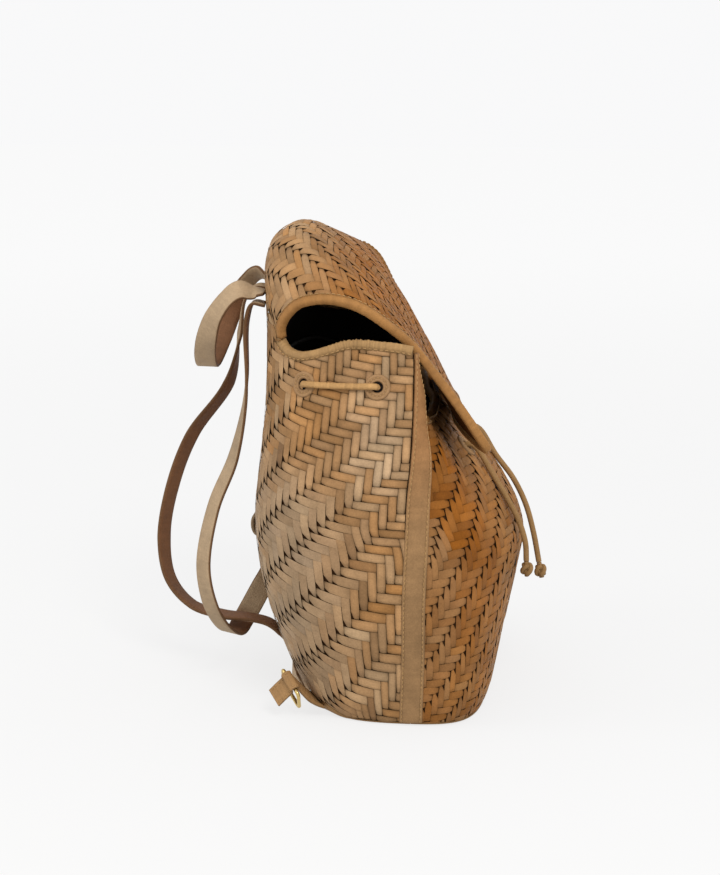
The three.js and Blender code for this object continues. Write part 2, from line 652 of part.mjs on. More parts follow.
// A stitched ring of leather that follows the wall round a hole
function eyeletRing(pointAt, a, b, stepA, stepB) {
  const sides = 12;
  const { right, up, normal, at } = faceFrame(pointAt, a, b, stepA, stepB);
  const perA = pointAt(a + stepA, b).distanceTo(at) / stepA;
  const perB = pointAt(a, b + stepB).distanceTo(at) / stepB;
  const radii = [EYELET_HOLE / 2, EYELET_OUTER / 2];
  const frames = Array.from({ length: sides }, (_, k) => {
    const turn = (2 * Math.PI * k) / sides;
    const out = right.clone().multiplyScalar(Math.cos(turn)).addScaledVector(up, Math.sin(turn));
    const [near, far] = radii.map(
      (r) => pointAt(a + (r * Math.cos(turn)) / perA, b + (r * Math.sin(turn)) / perB));
    const slope = far.clone().sub(near).normalize();
    const lean = normal.clone().addScaledVector(slope, -normal.dot(slope)).normalize();
    return { at: near, right: slope.dot(out) > 0 ? slope : slope.negate(), up: lean };
  });
  const width = radii[1] - radii[0];
  const high = EYELET_LIFT + EYELET_LEATHER;
  return sweep(frames, [[0, EYELET_LIFT], [width, EYELET_LIFT], [width, high], [0, high]], true);
}

// The lace that the eyelets hold: in at the front, out and in again at the side, and on inside to the back
function drawstring(side, eyelets) {
  const inside = 8;
  const outside = EYELET_LIFT + EYELET_LEATHER + LACE / 2 + GAP;
  const front = frontEyelet(side);
  const [forward, rear] = eyelets.map((row) => sideEyelet(row, side));
  const off = (frame, depth, slide = 0) => frame.at.clone().addScaledVector(frame.normal, depth)
    .addScaledVector(rear.at.clone().sub(forward.at).normalize(), slide);
  const [start, end] = eyelets.map((row) => row.along);
  const levelAt = (along) => eyelets[0].z + ((eyelets[1].z - eyelets[0].z) * (along - start)) / (end - start);
  const over = (along, lift) => off(sideEyelet({ along, z: levelAt(along) }, side), lift);
  const inFront = (across) => {
    const share = solveRising((s) => frontPoint(s, FRONT_EYELET.course).x, -across, 0, 1);
    const frame = faceFrame(frontPoint, side < 0 ? share : 2 - share, FRONT_EYELET.course, 0.01, 0.01);
    return frame.at.clone().addScaledVector(frame.normal, -inside);
  };
  const inBack = (along) => {
    const frame = sideEyelet({ along, z: 270 }, side);
    return frame.at.clone().addScaledVector(frame.normal, -inside);
  };
  const backEnd = inBack(1);
  backEnd.x = (side * GAP) / 2;
  const points = [
    off(front, 0.4), off(front, -5), inFront(52), inFront(78), vec(side * 101, 0, 234), off(forward, -10, -4),
    off(forward, -4), off(forward, 1), over(start + 0.008, 4.4), over(start + 0.035, outside),
    over(start + 0.07, 3.8), over((start + end) / 2, 3.4), over(end - 0.07, 3.8),
    over(end - 0.035, outside), over(end - 0.008, 4.4), off(rear, 1), off(rear, -4),
    off(rear, -10, 4), inBack(0.55), inBack(0.75), inBack(0.9), backEnd,
  ];
  const curve = curveThrough(points);
  const steps = 60;
  const frames = [];
  let right = vec(0, 0, 1);
  for (let k = 0; k <= steps; k += 1) {
    const tangent = curve.getTangentAt(k / steps);
    right.addScaledVector(tangent, -right.dot(tangent)).normalize();
    frames.push({ at: curve.getPointAt(k / steps), right: right.clone(), up: tangent.clone().cross(right) });
  }
  return sweep(frames, circle(LACE, 6));
}

// A free end of the lace, hanging from its front eyelet
function cordEndCurve(side, route) {
  const { at, normal, up } = frontEyelet(side);
  const off = (depth, drop) => at.clone().addScaledVector(normal, depth).addScaledVector(up, -drop);
  const start = [off(1.2, 0), off(4.2, 0.6), off(6, 5), off(6, 11)];
  const hanging = route.map((row) => vec(row.x, row.y, row.z));
  return curveThrough([...start, ...hanging]);
}

function cordEnd(side, route) {
  const shape = new THREE.Shape(circle(LACE, 8).map(([a, b]) => new THREE.Vector2(a, b)));
  const extrudePath = cordEndCurve(side, route);
  return new THREE.ExtrudeGeometry(shape, { steps: 14, extrudePath, bevelEnabled: false });
}

function knot(side, route) {
  const curve = cordEndCurve(side, route);
  const along = curve.getTangentAt(1);
  const geometry = new THREE.SphereGeometry(KNOT.radius, 8, 6);
  geometry.scale(1, KNOT.length / (2 * KNOT.radius), 1);
  geometry.applyQuaternion(new THREE.Quaternion().setFromUnitVectors(vec(0, 1, 0), along));
  const centre = curve.getPointAt(1).addScaledVector(along, KNOT.length / 2 + GAP);
  return geometry.translate(centre.x, centre.y, centre.z);
}

// A strap whose first point is set against the back wall
const seatedOnBack = ([first, ...rest]) => [
  { ...first, y: backSurface(first.x, first.z) + STRAP_LEATHER / 2 + GAP }, ...rest];

function handle() {
  const half = seatedOnBack(HANDLE_ROUTE);
  const otherHalf = mirrored(half.slice(0, -1)).reverse();
  return sweep(strapFrames([...half, ...otherHalf], 36), rectangle(STRAP_WIDTH, STRAP_LEATHER));
}

// A place just off the back wall, with its directions in the wall
function backFrame(x, z) {
  return faceFrame(wrapPoint, solveRising((s) => wrapPoint(s, z).x, x, 0, 2), z, 0.01, 2);
}

// The last point of a strap against the wall at the left corner, with its width along the wall or up it
function strapFoot(direction) {
  const { at, normal, [direction]: wide } = backFrame(STRAP_FOOT.x, STRAP_FOOT.z);
  at.addScaledVector(normal, STRAP_LEATHER / 2 + 2 * GAP);
  return [{ x: at.x, y: at.y, z: at.z, wide: wide.negate().toArray() }];
}

function nearStrap() {
  return sweep(strapFrames([...seatedOnBack(STRAP_NEAR_ROUTE), ...mirrored(strapFoot('right'))], 62),
    rectangle(STRAP_WIDTH, STRAP_LEATHER));
}

function farStrap() {
  return sweep(strapFrames([...seatedOnBack(STRAP_FAR_ROUTE), ...strapFoot('up')], 62),
    rectangle(STRAP_WIDTH, STRAP_LEATHER));
}

// The brass ring: a loop of wire with rounded corners
function ringFrames() {
  const corner = 2.6;
  const halfWide = (RING_WIDTH + WIRE) / 2 - corner;
  const halfHigh = RING_HEIGHT / 2 - corner;
  const perCorner = 3;
  const frames = [];
  const normal = RING_BAR.clone().cross(RING_DROP);
  [[1, 1], [-1, 1], [-1, -1], [1, -1]].forEach(([a, b], quarter) => {
    for (let k = 0; k <= perCorner; k += 1) {
      const turn = (Math.PI / 2) * (quarter + k / perCorner);
      const out = RING_BAR.clone().multiplyScalar(Math.cos(turn)).addScaledVector(RING_DROP, Math.sin(turn));
      const at = RING_CENTRE.clone();
      at.addScaledVector(RING_BAR, a * halfWide).addScaledVector(RING_DROP, b * halfHigh);
      frames.push({ at: at.addScaledVector(out, corner), right: out, up: normal.clone() });
    }
  });
  return frames;
}

// The tab: up from the lower corner, over the ring's upper bar and out again to a square end
function tabRoute() {
  const bar = RING_CENTRE.clone().addScaledVector(RING_DROP, -RING_HEIGHT / 2);
  const inward = RING_BAR.clone().cross(RING_DROP);
  const radius = WIRE / 2 + 3 * GAP + TAB_LEATHER / 2;
  const { at: root, normal } = backFrame(TAB_ROOT.x, TAB_ROOT.z);
  root.addScaledVector(normal, TAB_LEATHER / 2 + 3 * GAP);
  const flat = RING_BAR.clone().addScaledVector(normal, -RING_BAR.dot(normal));
  const round = [-20, 40, 100, 160, 215].map((angle) => bar.clone()
    .addScaledVector(inward, radius * Math.cos(degrees(angle)))
    .addScaledVector(RING_DROP, -radius * Math.sin(degrees(angle))));
  const leave = inward.clone().multiplyScalar(-0.9).addScaledVector(RING_DROP, 0.75).normalize();
  const tail = [0.5, 1].map((share) => round[4].clone().addScaledVector(leave, TAB_TAIL * share));
  const row = (p, wide) => ({ x: p.x, y: p.y, z: p.z, wide: wide.toArray() });
  const rise = root.clone().lerp(round[0], 0.45).addScaledVector(normal, 1.5);
  return [row(root, flat), row(rise, RING_BAR), ...[...round, ...tail].map((p) => row(p, RING_BAR))];
}

const mirrorFrames = (frames) => frames.map(({ at, right, up }) => ({
  at: vec(-at.x, at.y, at.z), right: vec(-right.x, right.y, right.z), up: vec(-up.x, up.y, up.z) }));

function strapTab(side) {
  const frames = strapFrames(tabRoute(), 24);
  return sweep(side < 0 ? frames : mirrorFrames(frames), rectangle(TAB_WIDTH, TAB_LEATHER));
}

function strapRing(side) {
  const frames = ringFrames();
  return sweep(side < 0 ? frames : mirrorFrames(frames), circle(WIRE, 6), true);
}

// The small folded tab on the back: a short strip that leaves the wall, turns over and comes back to it
function backTab() {
  const wallY = backSurface(BACK_TAB.x, BACK_TAB.z) + GAP;
  const steps = 10;
  const frames = Array.from({ length: steps + 1 }, (_, k) => {
    const turn = Math.PI * (k / steps);
    const rise = (BACK_TAB.height / 2) * Math.cos(turn);
    const out = (BACK_TAB.depth - STRAP_LEATHER) * Math.sin(turn) ** 0.7;
    const at = vec(BACK_TAB.x, wallY + out, BACK_TAB.z + rise);
    return { at, right: vec(1, 0, 0), up: vec(0, Math.sin(turn), Math.cos(turn)) };
  });
  return sweep(frames, rectangle(BACK_TAB.width, STRAP_LEATHER));
}

// Finishes
const finish = (color, roughness, metalness = 0) => ({ color, roughness, metalness });
const WOVEN = finish(0xb0885c, 0.55);
const SMOOTH_LEATHER = finish(0xa57d55, 0.5);
const EDGE_LEATHER = finish(0xaa7d4b, 0.5);
const STRAP_TAN = finish(0xb29e82, 0.5);
const LACE_TAN = finish(0xb8925f, 0.55);
const BRASS = finish(0xc8b45a, 0.3, 1);

const bag = new THREE.Group();

function add(name, geometry, surface) {
  const mesh = new THREE.Mesh(geometry, new THREE.MeshStandardMaterial(surface));
  mesh.name = name;
  bag.add(mesh);
}

add('back_and_sides', backAndSides(), WOVEN);
add('front_panel', frontPanel(), WOVEN);
add('base_panel', basePanel(), SMOOTH_LEATHER);
add('flap', wall(flapGrid, flapNormals, WALL), WOVEN);
add('flap_binding', flapBinding(), EDGE_LEATHER);
add('front_binding', frontBinding(), EDGE_LEATHER);
add('handle', handle(), STRAP_TAN);
add('shoulder_strap_left', nearStrap(), STRAP_TAN);
add('shoulder_strap_right', farStrap(), STRAP_TAN);
add('back_tab', backTab(), STRAP_TAN);
add('cord_end_left', cordEnd(-1, CORD_END_LEFT), LACE_TAN);
add('cord_end_right', cordEnd(1, CORD_END_RIGHT), LACE_TAN);
add('knot_left', knot(-1, CORD_END_LEFT), LACE_TAN);
add('knot_right', knot(1, CORD_END_RIGHT), LACE_TAN);

for (const [word, side] of Object.entries(SIDES)) {
  add(`seam_band_${word}`, seamBand(side, BAND_TOP[word]), SMOOTH_LEATHER);
  add(`mouth_binding_${word}`, mouthBinding(side), EDGE_LEATHER);
  add(`drawstring_${word}`, drawstring(side, SIDE_EYELETS[word]), LACE_TAN);
  add(`strap_tab_${word}`, strapTab(side), SMOOTH_LEATHER);
  add(`strap_ring_${word}`, strapRing(side), BRASS);
  for (const eyelet of SIDE_EYELETS[word]) {
    const along = side < 0 ? eyelet.along : 2 - eyelet.along;
    add(`eyelet_${word}_${eyelet.name}`, eyeletRing(wrapPoint, along, eyelet.z, 0.01, 2), SMOOTH_LEATHER);
  }
  const share = side < 0 ? frontShare : 2 - frontShare;
  add(`eyelet_front_${word}`, eyeletRing(frontPoint, share, FRONT_EYELET.course, 0.01, 0.01), SMOOTH_LEATHER);
}

export default bag;
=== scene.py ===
import math

import bpy
import numpy as np
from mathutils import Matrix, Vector


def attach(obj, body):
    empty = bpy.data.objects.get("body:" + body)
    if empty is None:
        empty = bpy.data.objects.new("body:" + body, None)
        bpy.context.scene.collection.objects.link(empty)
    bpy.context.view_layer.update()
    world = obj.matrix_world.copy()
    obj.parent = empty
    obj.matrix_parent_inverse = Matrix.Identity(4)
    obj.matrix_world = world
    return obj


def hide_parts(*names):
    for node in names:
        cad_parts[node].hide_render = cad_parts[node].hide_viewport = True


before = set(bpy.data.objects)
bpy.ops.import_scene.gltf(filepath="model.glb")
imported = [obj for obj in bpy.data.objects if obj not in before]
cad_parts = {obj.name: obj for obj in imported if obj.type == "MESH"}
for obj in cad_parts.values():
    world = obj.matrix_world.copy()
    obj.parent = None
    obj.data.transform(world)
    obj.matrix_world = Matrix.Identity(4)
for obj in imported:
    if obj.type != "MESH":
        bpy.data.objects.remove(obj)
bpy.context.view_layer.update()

# Sizes, in millimetres
MM = 0.001
WALL = 2.6
GAP = 0.3
LOWEST = 0.1
BAND_WIDTH = 18.0
BAND_BOTTOM = 0.6
BAND_TOP = {"left": 266.0, "right": 236.0}
BAND_TIP = {"left": 26.0, "right": 4.0}
STRAP_WIDTH = 18.0
STRAP_LEATHER = 2.6
FLAP_HALF_WIDTH = 101.0
FLAP_CORNER = 20.0
FLAP_SEAM_SHARE = 0.44
FLAP_SEAM_GAP = 1.0
LACE = 4.6
WIRE = 3.0
RING_WIDTH = 23.0
RING_HEIGHT = 20.0
RING_CORNER = 2.6
TAB_WIDTH = 17.0
TAB_LEATHER = 2.0
TAB_TAIL = 16.0
PITCH = 6.3

# The body's outline at each height: half its width, its back and how square its corners are
BODY = {
    "z": (0, 2.5, 8, 18, 48, 80, 113, 154, 194, 234, 270, 298, 345),
    "half_width": (115, 120, 122, 125.5, 132, 139, 143, 144, 139, 130, 118, 111, 104),
    "back": (58, 64, 69, 75, 88, 100, 108, 111, 107, 103, 102, 102, 104),
    "square": (3.2, 3.2, 3.3, 3.4, 3.4, 3.3, 3.2, 3.2, 3.2, 3.2, 3.2, 3.2, 3.2),
}
# The side seam: the rear edge of its band and how far the band turns to the front
SEAM = {
    "z": (0, 57, 109, 157, 187, 212, 238, 276, 300),
    "rear": (-11.5, -14, -15, -17, -18, -20, -21, -21, -20),
    "turn": (0, 0, 0, 4, 15, 33, 60, 74, 74),
}
SEAM_TURNED = 6.0
# The mouth's height from each side seam to the back's middle
RIM = {
    "along": (0, 0.06, 0.12, 0.2, 0.26, 0.32, 0.39, 0.46, 0.54, 0.66, 0.8, 1),
    "left": (295, 297, 298, 299, 298, 294, 289.5, 287.5, 292, 314, 333, 340),
    "right": (247, 259, 272, 286, 292, 295, 297, 299, 304, 317, 333, 340),
}
# The front panel's courses: their height at the seam, their middle, and how far they bow
FRONT = {
    "edge": (0, 2.5, 10, 25, 52, 84, 110, 134, 156, 175, 194, 212, 227, 241),
    "y": (-70, -75, -79, -82, -87, -94, -99, -102, -97, -88, -77, -61, -45, -28),
    "z": (0, 2.5, 10, 24, 50, 82, 107, 128, 148, 165, 182, 200, 215, 229),
    "side": (130, 140, 145, 150, 145, 130, 118, 110, 100, 85, 70, 60, 55, 55),
    "across": (300, 310, 320, 325, 315, 275, 230, 200, 195, 190, 185, 180, 170, 160),
}
# How far the front's edge is set in where the seam turns
FRONT_SET_IN = 2.5
FRONT_TUCK = 3.2
# Each fold of the front panel: its place, spread and depth, and the heights it runs between
FRONT_FOLDS = (
    (0.2, 0.13, 9, 130, 250),
    (0.62, 0.12, 4, 175, 250),
    (1.38, 0.12, 4, 175, 250),
    (1.72, 0.3, 15, 150, 250),
)
# The flap's lines from the back seam to the front edge, as y and z
FLAP_MIDDLE = (
    (104, 340), (104, 353), (101, 364), (90, 374), (76, 378), (48, 363), (20, 341), (0, 315),
    (-20, 279), (-36, 249), (-49, 224),
)
FLAP_LEFT = (
    (80, 300), (81, 309), (77, 318), (69, 326), (56, 330), (40, 330), (21, 325), (1, 313),
    (-19, 297), (-37, 275), (-53, 254), (-65, 237), (-76, 221), (-85, 211),
)
FLAP_RIGHT = (
    (80, 300), (79, 317), (70, 332), (57, 343), (42, 348), (28, 340), (13, 312), (-3, 284),
    (-17, 260), (-28, 238), (-36, 220),
)
FLAP_DENT = {"across": -0.35, "along": 0.5, "reach_across": 0.4, "reach_along": 0.16, "rise": -4}

# Eyelets: share of the way from the side seam to the back's middle, and height
SIDE_EYELETS = {"left": ((0.13, 267), (0.415, 266)), "right": ((0.18, 262), (0.415, 265))}
FRONT_EYELET_ACROSS = 34.0
FRONT_EYELET_COURSE = 0.86

# Straps: points of their routes with the direction of the width there; the first y is on the back wall
HANDLE_ROUTE = (
    ((-42, None, 326), (1, 0, 0)), ((-42, 111, 326.5), (0.95, 0, 0.3)), ((-50, 121, 329), (0.8, -0.1, 0.6)),
    ((-57, 130, 324), (0.75, 0.42, 0.5)), ((-58, 141, 309), (0.6, 0.7, 0.4)),
    ((-51, 148, 291), (0.3, 0.9, 0.3)), ((-33, 153, 273), (0, 0.98, 0.15)), ((0, 156, 260), (0, 1, 0)),
)
STRAP_NEAR_ROUTE = (
    ((-42, None, 317), (1, 0, 0)), ((-43, 112, 318), (1, 0, 0)), ((-45, 117, 304), (1, 0, 0)),
    ((-48, 117, 259), (1, 0.12, 0)), ((-50, 119, 235), (1, 0.25, 0)), ((-54, 128, 194), (0.85, 0.45, 0.2)),
    ((-58, 143.5, 155), (0.8, 0.55, 0.2)), ((-62, 152, 108), (0.7, 0.7, 0.1)),
    ((-58, 148.5, 76), (0.6, 0.8, 0)), ((-44, 142, 53), (0.5, 0.8, 0)), ((-20, 135, 38), (0.3, 0.95, 0.1)),
    ((9, 130, 43), (0.1, 0.9, 0.35)), ((28, 115.5, 70), (0, 0.55, 0.85)), ((48, 107, 86), (-0.1, 0.15, 1)),
    ((66, 101.5, 79), (0.5, -0.05, 0.85)), ((79, 90, 57), (0.8, -0.25, 0.5)),
)
STRAP_FAR_ROUTE = (
    ((36, None, 317), (1, 0, 0)), ((36, 122, 320), (1, 0, 0)), ((35, 131, 309), (1, 0.1, 0)),
    ((34, 136, 280), (1, 0.3, 0)), ((35, 146, 238), (0.9, -0.3, -0.2)),
    ((30, 177, 194), (0.85, -0.4, -0.25)), ((26, 194, 150), (0.88, -0.4, -0.2)),
    ((20, 201, 107), (0.92, -0.38, 0)), ((9, 194, 74), (1, -0.2, 0)), ((-1, 174, 55), (1, 0, 0)),
    ((-9, 147, 49.5), (1, 0.05, 0.05)), ((-13, 121, 48.5), (1, 0.05, 0)), ((-15, 106, 45.5), (1, 0, 0)),
    ((-17, 95.5, 38), (1, 0, 0)), ((-22, 87, 27), (0.85, 0, -0.5)), ((-40, 82, 20), (0.3, 0.05, -0.95)),
    ((-62, 79, 19), (0, 0.05, -1)),
)
STRAP_FOOT = (-84, 20)
RING_CENTRE = np.array((-108.0, 75.0, 22.0))
RING_BAR = np.array((-0.62, -0.55, -0.56))
RING_DROP = np.array((0.643, 0.052, -0.764))
TAB_ROOT = (-102, 9)
BACK_TAB = {"x": -24, "z": 134, "width": 14, "height": 18, "depth": 9}

# The lace's free ends below their eyelets, and their knots
CORD_ENDS = {
    "left": ((-37, -77.5, 184), (-40, -89, 166), (-42, -99.5, 147), (-42, -105.5, 128), (-41, -106.5, 113)),
    "right": ((32, -78, 183), (28, -93, 164), (24, -104, 143), (19, -111, 120), (15, -116, 96)),
}
KNOT_LENGTH = 14.0
KNOT_RADIUS = 5.0
KNOT_LACE = 1.9

SIDES = {"left": -1, "right": 1}
BODY_MIDDLE = np.array((0.0, 5.0, 150.0))
FLAP_INSIDE = np.array((0.0, 30.0, 270.0))
chance = np.random.default_rng(7)


# Small tools

def smooth(t):
    t = np.clip(t, 0, 1)
    return t * t * (3 - 2 * t)


def blend(first, second, share):
    """Rows of values between the first and the second, by the second's share in each row."""
    share = np.asarray(share)[..., None]
    return first * (1 - share) + second * share


def unit(vectors):
    vectors = np.asarray(vectors, float)
    return vectors / np.maximum(np.linalg.norm(vectors, axis=-1, keepdims=True), 1e-9)


def square_to(vectors, axis):
    """The part of the vectors that is square to a unit axis, at unit length."""
    return unit(vectors - np.sum(vectors * axis, axis=-1, keepdims=True) * axis)


def colour(red, green, blue):
    """A picture colour from 0 to 255 as the linear colour that light uses."""
    share = np.array((red, green, blue), float) / 255
    return np.where(share <= 0.04045, share / 12.92, ((share + 0.055) / 1.055) ** 2.4)


def rows_of(*parts):
    """Rows with one value from each part."""
    return np.stack(parts, axis=-1)


def line_lengths(points):
    """The length along a line of points, from its first."""
    return np.concatenate(((0,), np.linalg.norm(np.diff(points, axis=0), axis=1).cumsum()))


def read_rows(goals, keys, rows):
    """Rows of values, read at goals along their keys."""
    return np.stack([np.interp(goals, keys, column) for column in rows.T], axis=-1)


def line_through(keys, values):
    """A smooth line through a table's column, read at any value of its key."""
    keys = np.array(keys, float)
    values = np.array(values, float)
    last = len(keys) - 1
    low = np.maximum(np.arange(last + 1) - 1, 0)
    high = np.minimum(np.arange(last + 1) + 1, last)
    slopes = (values[high] - values[low]) / (keys[high] - keys[low])

    def read(at):
        at = np.asarray(at, float)
        i = np.clip(np.searchsorted(keys, at, "right") - 1, 0, last - 1)
        span = keys[i + 1] - keys[i]
        t = np.clip((at - keys[i]) / span, 0, 1)
        start = values[i] * (1 + 2 * t) * (1 - t) ** 2 + slopes[i] * span * t * (1 - t) ** 2
        return start + values[i + 1] * t * t * (3 - 2 * t) + slopes[i + 1] * span * t * t * (t - 1)

    return read


class Route:
    """A smooth curve through points, read by its share of the whole length."""

    def __init__(self, points, per_span=24):
        points = np.array(points, float)
        before = np.vstack((2 * points[0] - points[1], points[:-2]))
        after = np.vstack((points[2:], 2 * points[-1] - points[-2]))
        dense = []
        for p0, p1, p2, p3 in zip(before, points[:-1], points[1:], after):
            d0, d1, d2 = (math.sqrt(np.linalg.norm(b - a)) for a, b in ((p0, p1), (p1, p2), (p2, p3)))
            leave = ((p1 - p0) / d0 - (p2 - p0) / (d0 + d1) + (p2 - p1) / d1) * d1
            arrive = ((p2 - p1) / d1 - (p3 - p1) / (d1 + d2) + (p3 - p2) / d2) * d1
            t = np.linspace(0, 1, per_span, endpoint=False)[:, None]
            bend = 3 * (p2 - p1) - 2 * leave - arrive
            twist = 2 * (p1 - p2) + leave + arrive
            dense.append(p1 + leave * t + bend * t ** 2 + twist * t ** 3)
        self.points = np.vstack((*dense, points[-1:]))
        self.lengths = line_lengths(self.points)
        self.length = self.lengths[-1]
        self.places = np.arange(len(self.points)) / per_span

    def at(self, share):
        return read_rows(np.clip(share, 0, 1) * self.length, self.lengths, self.points)

    def tangent(self, share):
        step = 0.002
        return unit(self.at(share + step) - self.at(share - step))

    def place(self, share):
        return np.interp(share * self.length, self.lengths, self.places)


# The bag's surfaces, the same as the CAD model's

half_width_at = line_through(BODY["z"], BODY["half_width"])
back_at = line_through(BODY["z"], BODY["back"])
square_at = line_through(BODY["z"], BODY["square"])
rear_at = line_through(SEAM["z"], SEAM["rear"])
turn_at = line_through(SEAM["z"], SEAM["turn"])
rim_left = line_through(RIM["along"], RIM["left"])
rim_right = line_through(RIM["along"], RIM["right"])
front_line = {name: line_through(np.linspace(0, 1, len(values)), values) for name, values in FRONT.items()}


def under_band(z):
    return (BAND_WIDTH / 2 - GAP) * (1 - smooth(turn_at(z) / SEAM_TURNED)) - GAP


def wrap_table():
    """The wrap's x and y on a grid of heights and even shares of the way from seam to back."""
    levels = np.arange(0, 346, 1.5)
    angles = np.linspace(0, math.pi / 2, 145)
    z = levels[:, None]
    seam = rear_at(z) - under_band(z)
    power = 2 / square_at(z)
    x = -half_width_at(z) * np.cos(angles).clip(0) ** power
    y = seam + (back_at(z) - seam) * np.sin(angles) ** power
    even = []
    for line in rows_of(x, y):
        lengths = line_lengths(line)
        even.append(read_rows(np.linspace(0, lengths[-1], 121), lengths, line))
    return levels, np.array(even)


WRAP_LEVELS, WRAP_EVEN = wrap_table()


def wrap_point(share, z):
    """A point of the back and sides, by its height and its share from the left seam (0) to the right (2)."""
    share, z = np.broadcast_arrays(np.clip(share, 0, 2), np.clip(z, 0, WRAP_LEVELS[-1]))
    along = np.where(share <= 1, share, 2 - share) * (WRAP_EVEN.shape[1] - 1)
    level = z / (WRAP_LEVELS[1] - WRAP_LEVELS[0])
    i = np.clip(along.astype(int), 0, WRAP_EVEN.shape[1] - 2)
    j = np.clip(level.astype(int), 0, len(WRAP_LEVELS) - 2)
    low = blend(WRAP_EVEN[j, i], WRAP_EVEN[j, i + 1], along - i)
    high = blend(WRAP_EVEN[j + 1, i], WRAP_EVEN[j + 1, i + 1], along - i)
    flat = blend(low, high, level - j)
    return rows_of(np.where(share <= 1, 1, -1) * flat[..., 0], flat[..., 1], z)


def rim_height(share):
    return np.where(share <= 1, rim_left(share), rim_right(2 - share))


# Lengths up the back's middle line, which the wrap's courses are measured by
CLIMB_HEIGHTS = np.linspace(0, 345, 400)
CLIMB_LENGTHS = line_lengths(rows_of(CLIMB_HEIGHTS, back_at(CLIMB_HEIGHTS)))


def climb_at(z):
    return np.interp(z, CLIMB_HEIGHTS, CLIMB_LENGTHS)


def height_at(length):
    return np.interp(length, CLIMB_LENGTHS, CLIMB_HEIGHTS)


def share_at_x(x, z):
    shares = np.linspace(0, 2, 801)
    return float(np.interp(x, wrap_point(shares, z)[:, 0], shares))


def front_point(share, course):
    """A point of the front panel, by its course and its share from the left seam (0) to the right (2)."""
    share, course = np.broadcast_arrays(np.clip(share, 0, 2), np.clip(course, 0, 1))
    t = np.where(share <= 1, share, 2 - share)
    edge = front_line["edge"](course)
    turned = turn_at(edge)
    turn = np.radians(turned)
    set_in = FRONT_SET_IN * smooth(turned / SEAM_TURNED) + FRONT_TUCK * np.sin(turn)
    reach = under_band(edge) + 2 * GAP + set_in
    from_start = (1 + 2 * t) * (1 - t) ** 2
    leave = front_line["side"](course) * t * (1 - t) ** 2
    from_end = t * t * (3 - 2 * t)
    cross = front_line["across"](course) * t * t * (t - 1)
    x = (-half_width_at(edge) + reach * np.sin(turn)) * from_start + np.sin(turn) * leave + cross
    y = (rear_at(edge) - reach * np.cos(turn)) * from_start - np.cos(turn) * leave
    y = y + front_line["y"](course) * from_end
    z = edge + (front_line["z"](course) - edge) * smooth(t)
    x = np.where(share > 1, -x, x)
    for place, spread, depth, low, high in FRONT_FOLDS:
        reach_up = smooth((edge - low) / 60) * smooth((high - edge) / 20 + 0.5)
        press = depth * reach_up * np.exp(-((share - place) / spread) ** 2) * smooth(t / 0.08)
        y = y + press
        x = x + press * 0.4 * np.sign(1 - place)
    return rows_of(x, y, z)


flap_middle, flap_left, flap_right = (
    Route([(0, y, z) for y, z in rows]) for rows in (FLAP_MIDDLE, FLAP_LEFT, FLAP_RIGHT)
)
CORNER_SHARE = FLAP_CORNER / flap_left.length


def flap_sheet(across, along):
    side = np.where((across < 0)[..., None], flap_left.at(along), flap_right.at(along))
    point = blend(flap_middle.at(along), side, across ** 2)
    off_across = (across - FLAP_DENT["across"]) / FLAP_DENT["reach_across"]
    off_along = (along - FLAP_DENT["along"]) / FLAP_DENT["reach_along"]
    point[..., 0] = across * FLAP_HALF_WIDTH
    point[..., 2] += FLAP_DENT["rise"] * np.exp(-off_across ** 2 - off_along ** 2)
    return point


def flap_point(across, along):
    """A point of the flap, across from -1 to 1 and along from its seam (0) to its front edge (1)."""
    across, along = np.broadcast_arrays(np.clip(across, -1, 1), np.clip(along, 0, 1))
    share = 1 + FLAP_SEAM_SHARE * across
    seam = wrap_point(share, rim_height(share)) + np.array((0, 0, FLAP_SEAM_GAP))
    shift = seam - flap_sheet(across, np.zeros_like(across, dtype=float))
    return flap_sheet(across, along) + shift * (1 - smooth(along / 0.16))[..., None]


def flap_reach(along):
    """How far the flap reaches to each side, with its front corners rounded off."""
    corner = np.clip((along - 1 + CORNER_SHARE) / CORNER_SHARE, 0, 1)
    return 1 - (FLAP_CORNER / FLAP_HALF_WIDTH) * (1 - np.sqrt(1 - corner ** 2))


class Surface:
    """A curved wall with its outward normals."""

    def __init__(self, point, step_a, step_b, inside):
        self.point = point
        self.step_a = step_a
        self.step_b = step_b
        self.inside = inside

    def runs(self, a, b):
        """The moves over a small step along the wall and over one up it."""
        along = self.point(a + self.step_a, b) - self.point(a - self.step_a, b)
        return along, self.point(a, b + self.step_b) - self.point(a, b - self.step_b)

    def normal(self, a, b):
        normal = unit(np.cross(*self.runs(a, b)))
        outward = np.sum(normal * (self.point(a, b) - self.inside), axis=-1, keepdims=True)
        return normal * np.where(outward < 0, -1, 1)

    def raised(self, a, b, height):
        """Points at a height over the wall, but never in the floor."""
        points = self.point(a, b) + self.normal(a, b) * height
        points[..., 2] = np.maximum(points[..., 2], LOWEST)
        return points

    def face(self, a, b):
        """A place of the wall with its directions: along the wall, up it, and out of it."""
        along, up = self.runs(a, b)
        right = unit(along)
        return self.point(a, b), right, square_to(up, right), self.normal(a, b)


wrap = Surface(wrap_point, 0.01, 2.0, BODY_MIDDLE)
front = Surface(front_point, 0.01, 0.01, BODY_MIDDLE)
flap = Surface(flap_point, 0.02, 0.01, FLAP_INSIDE)


# Meshes from arrays

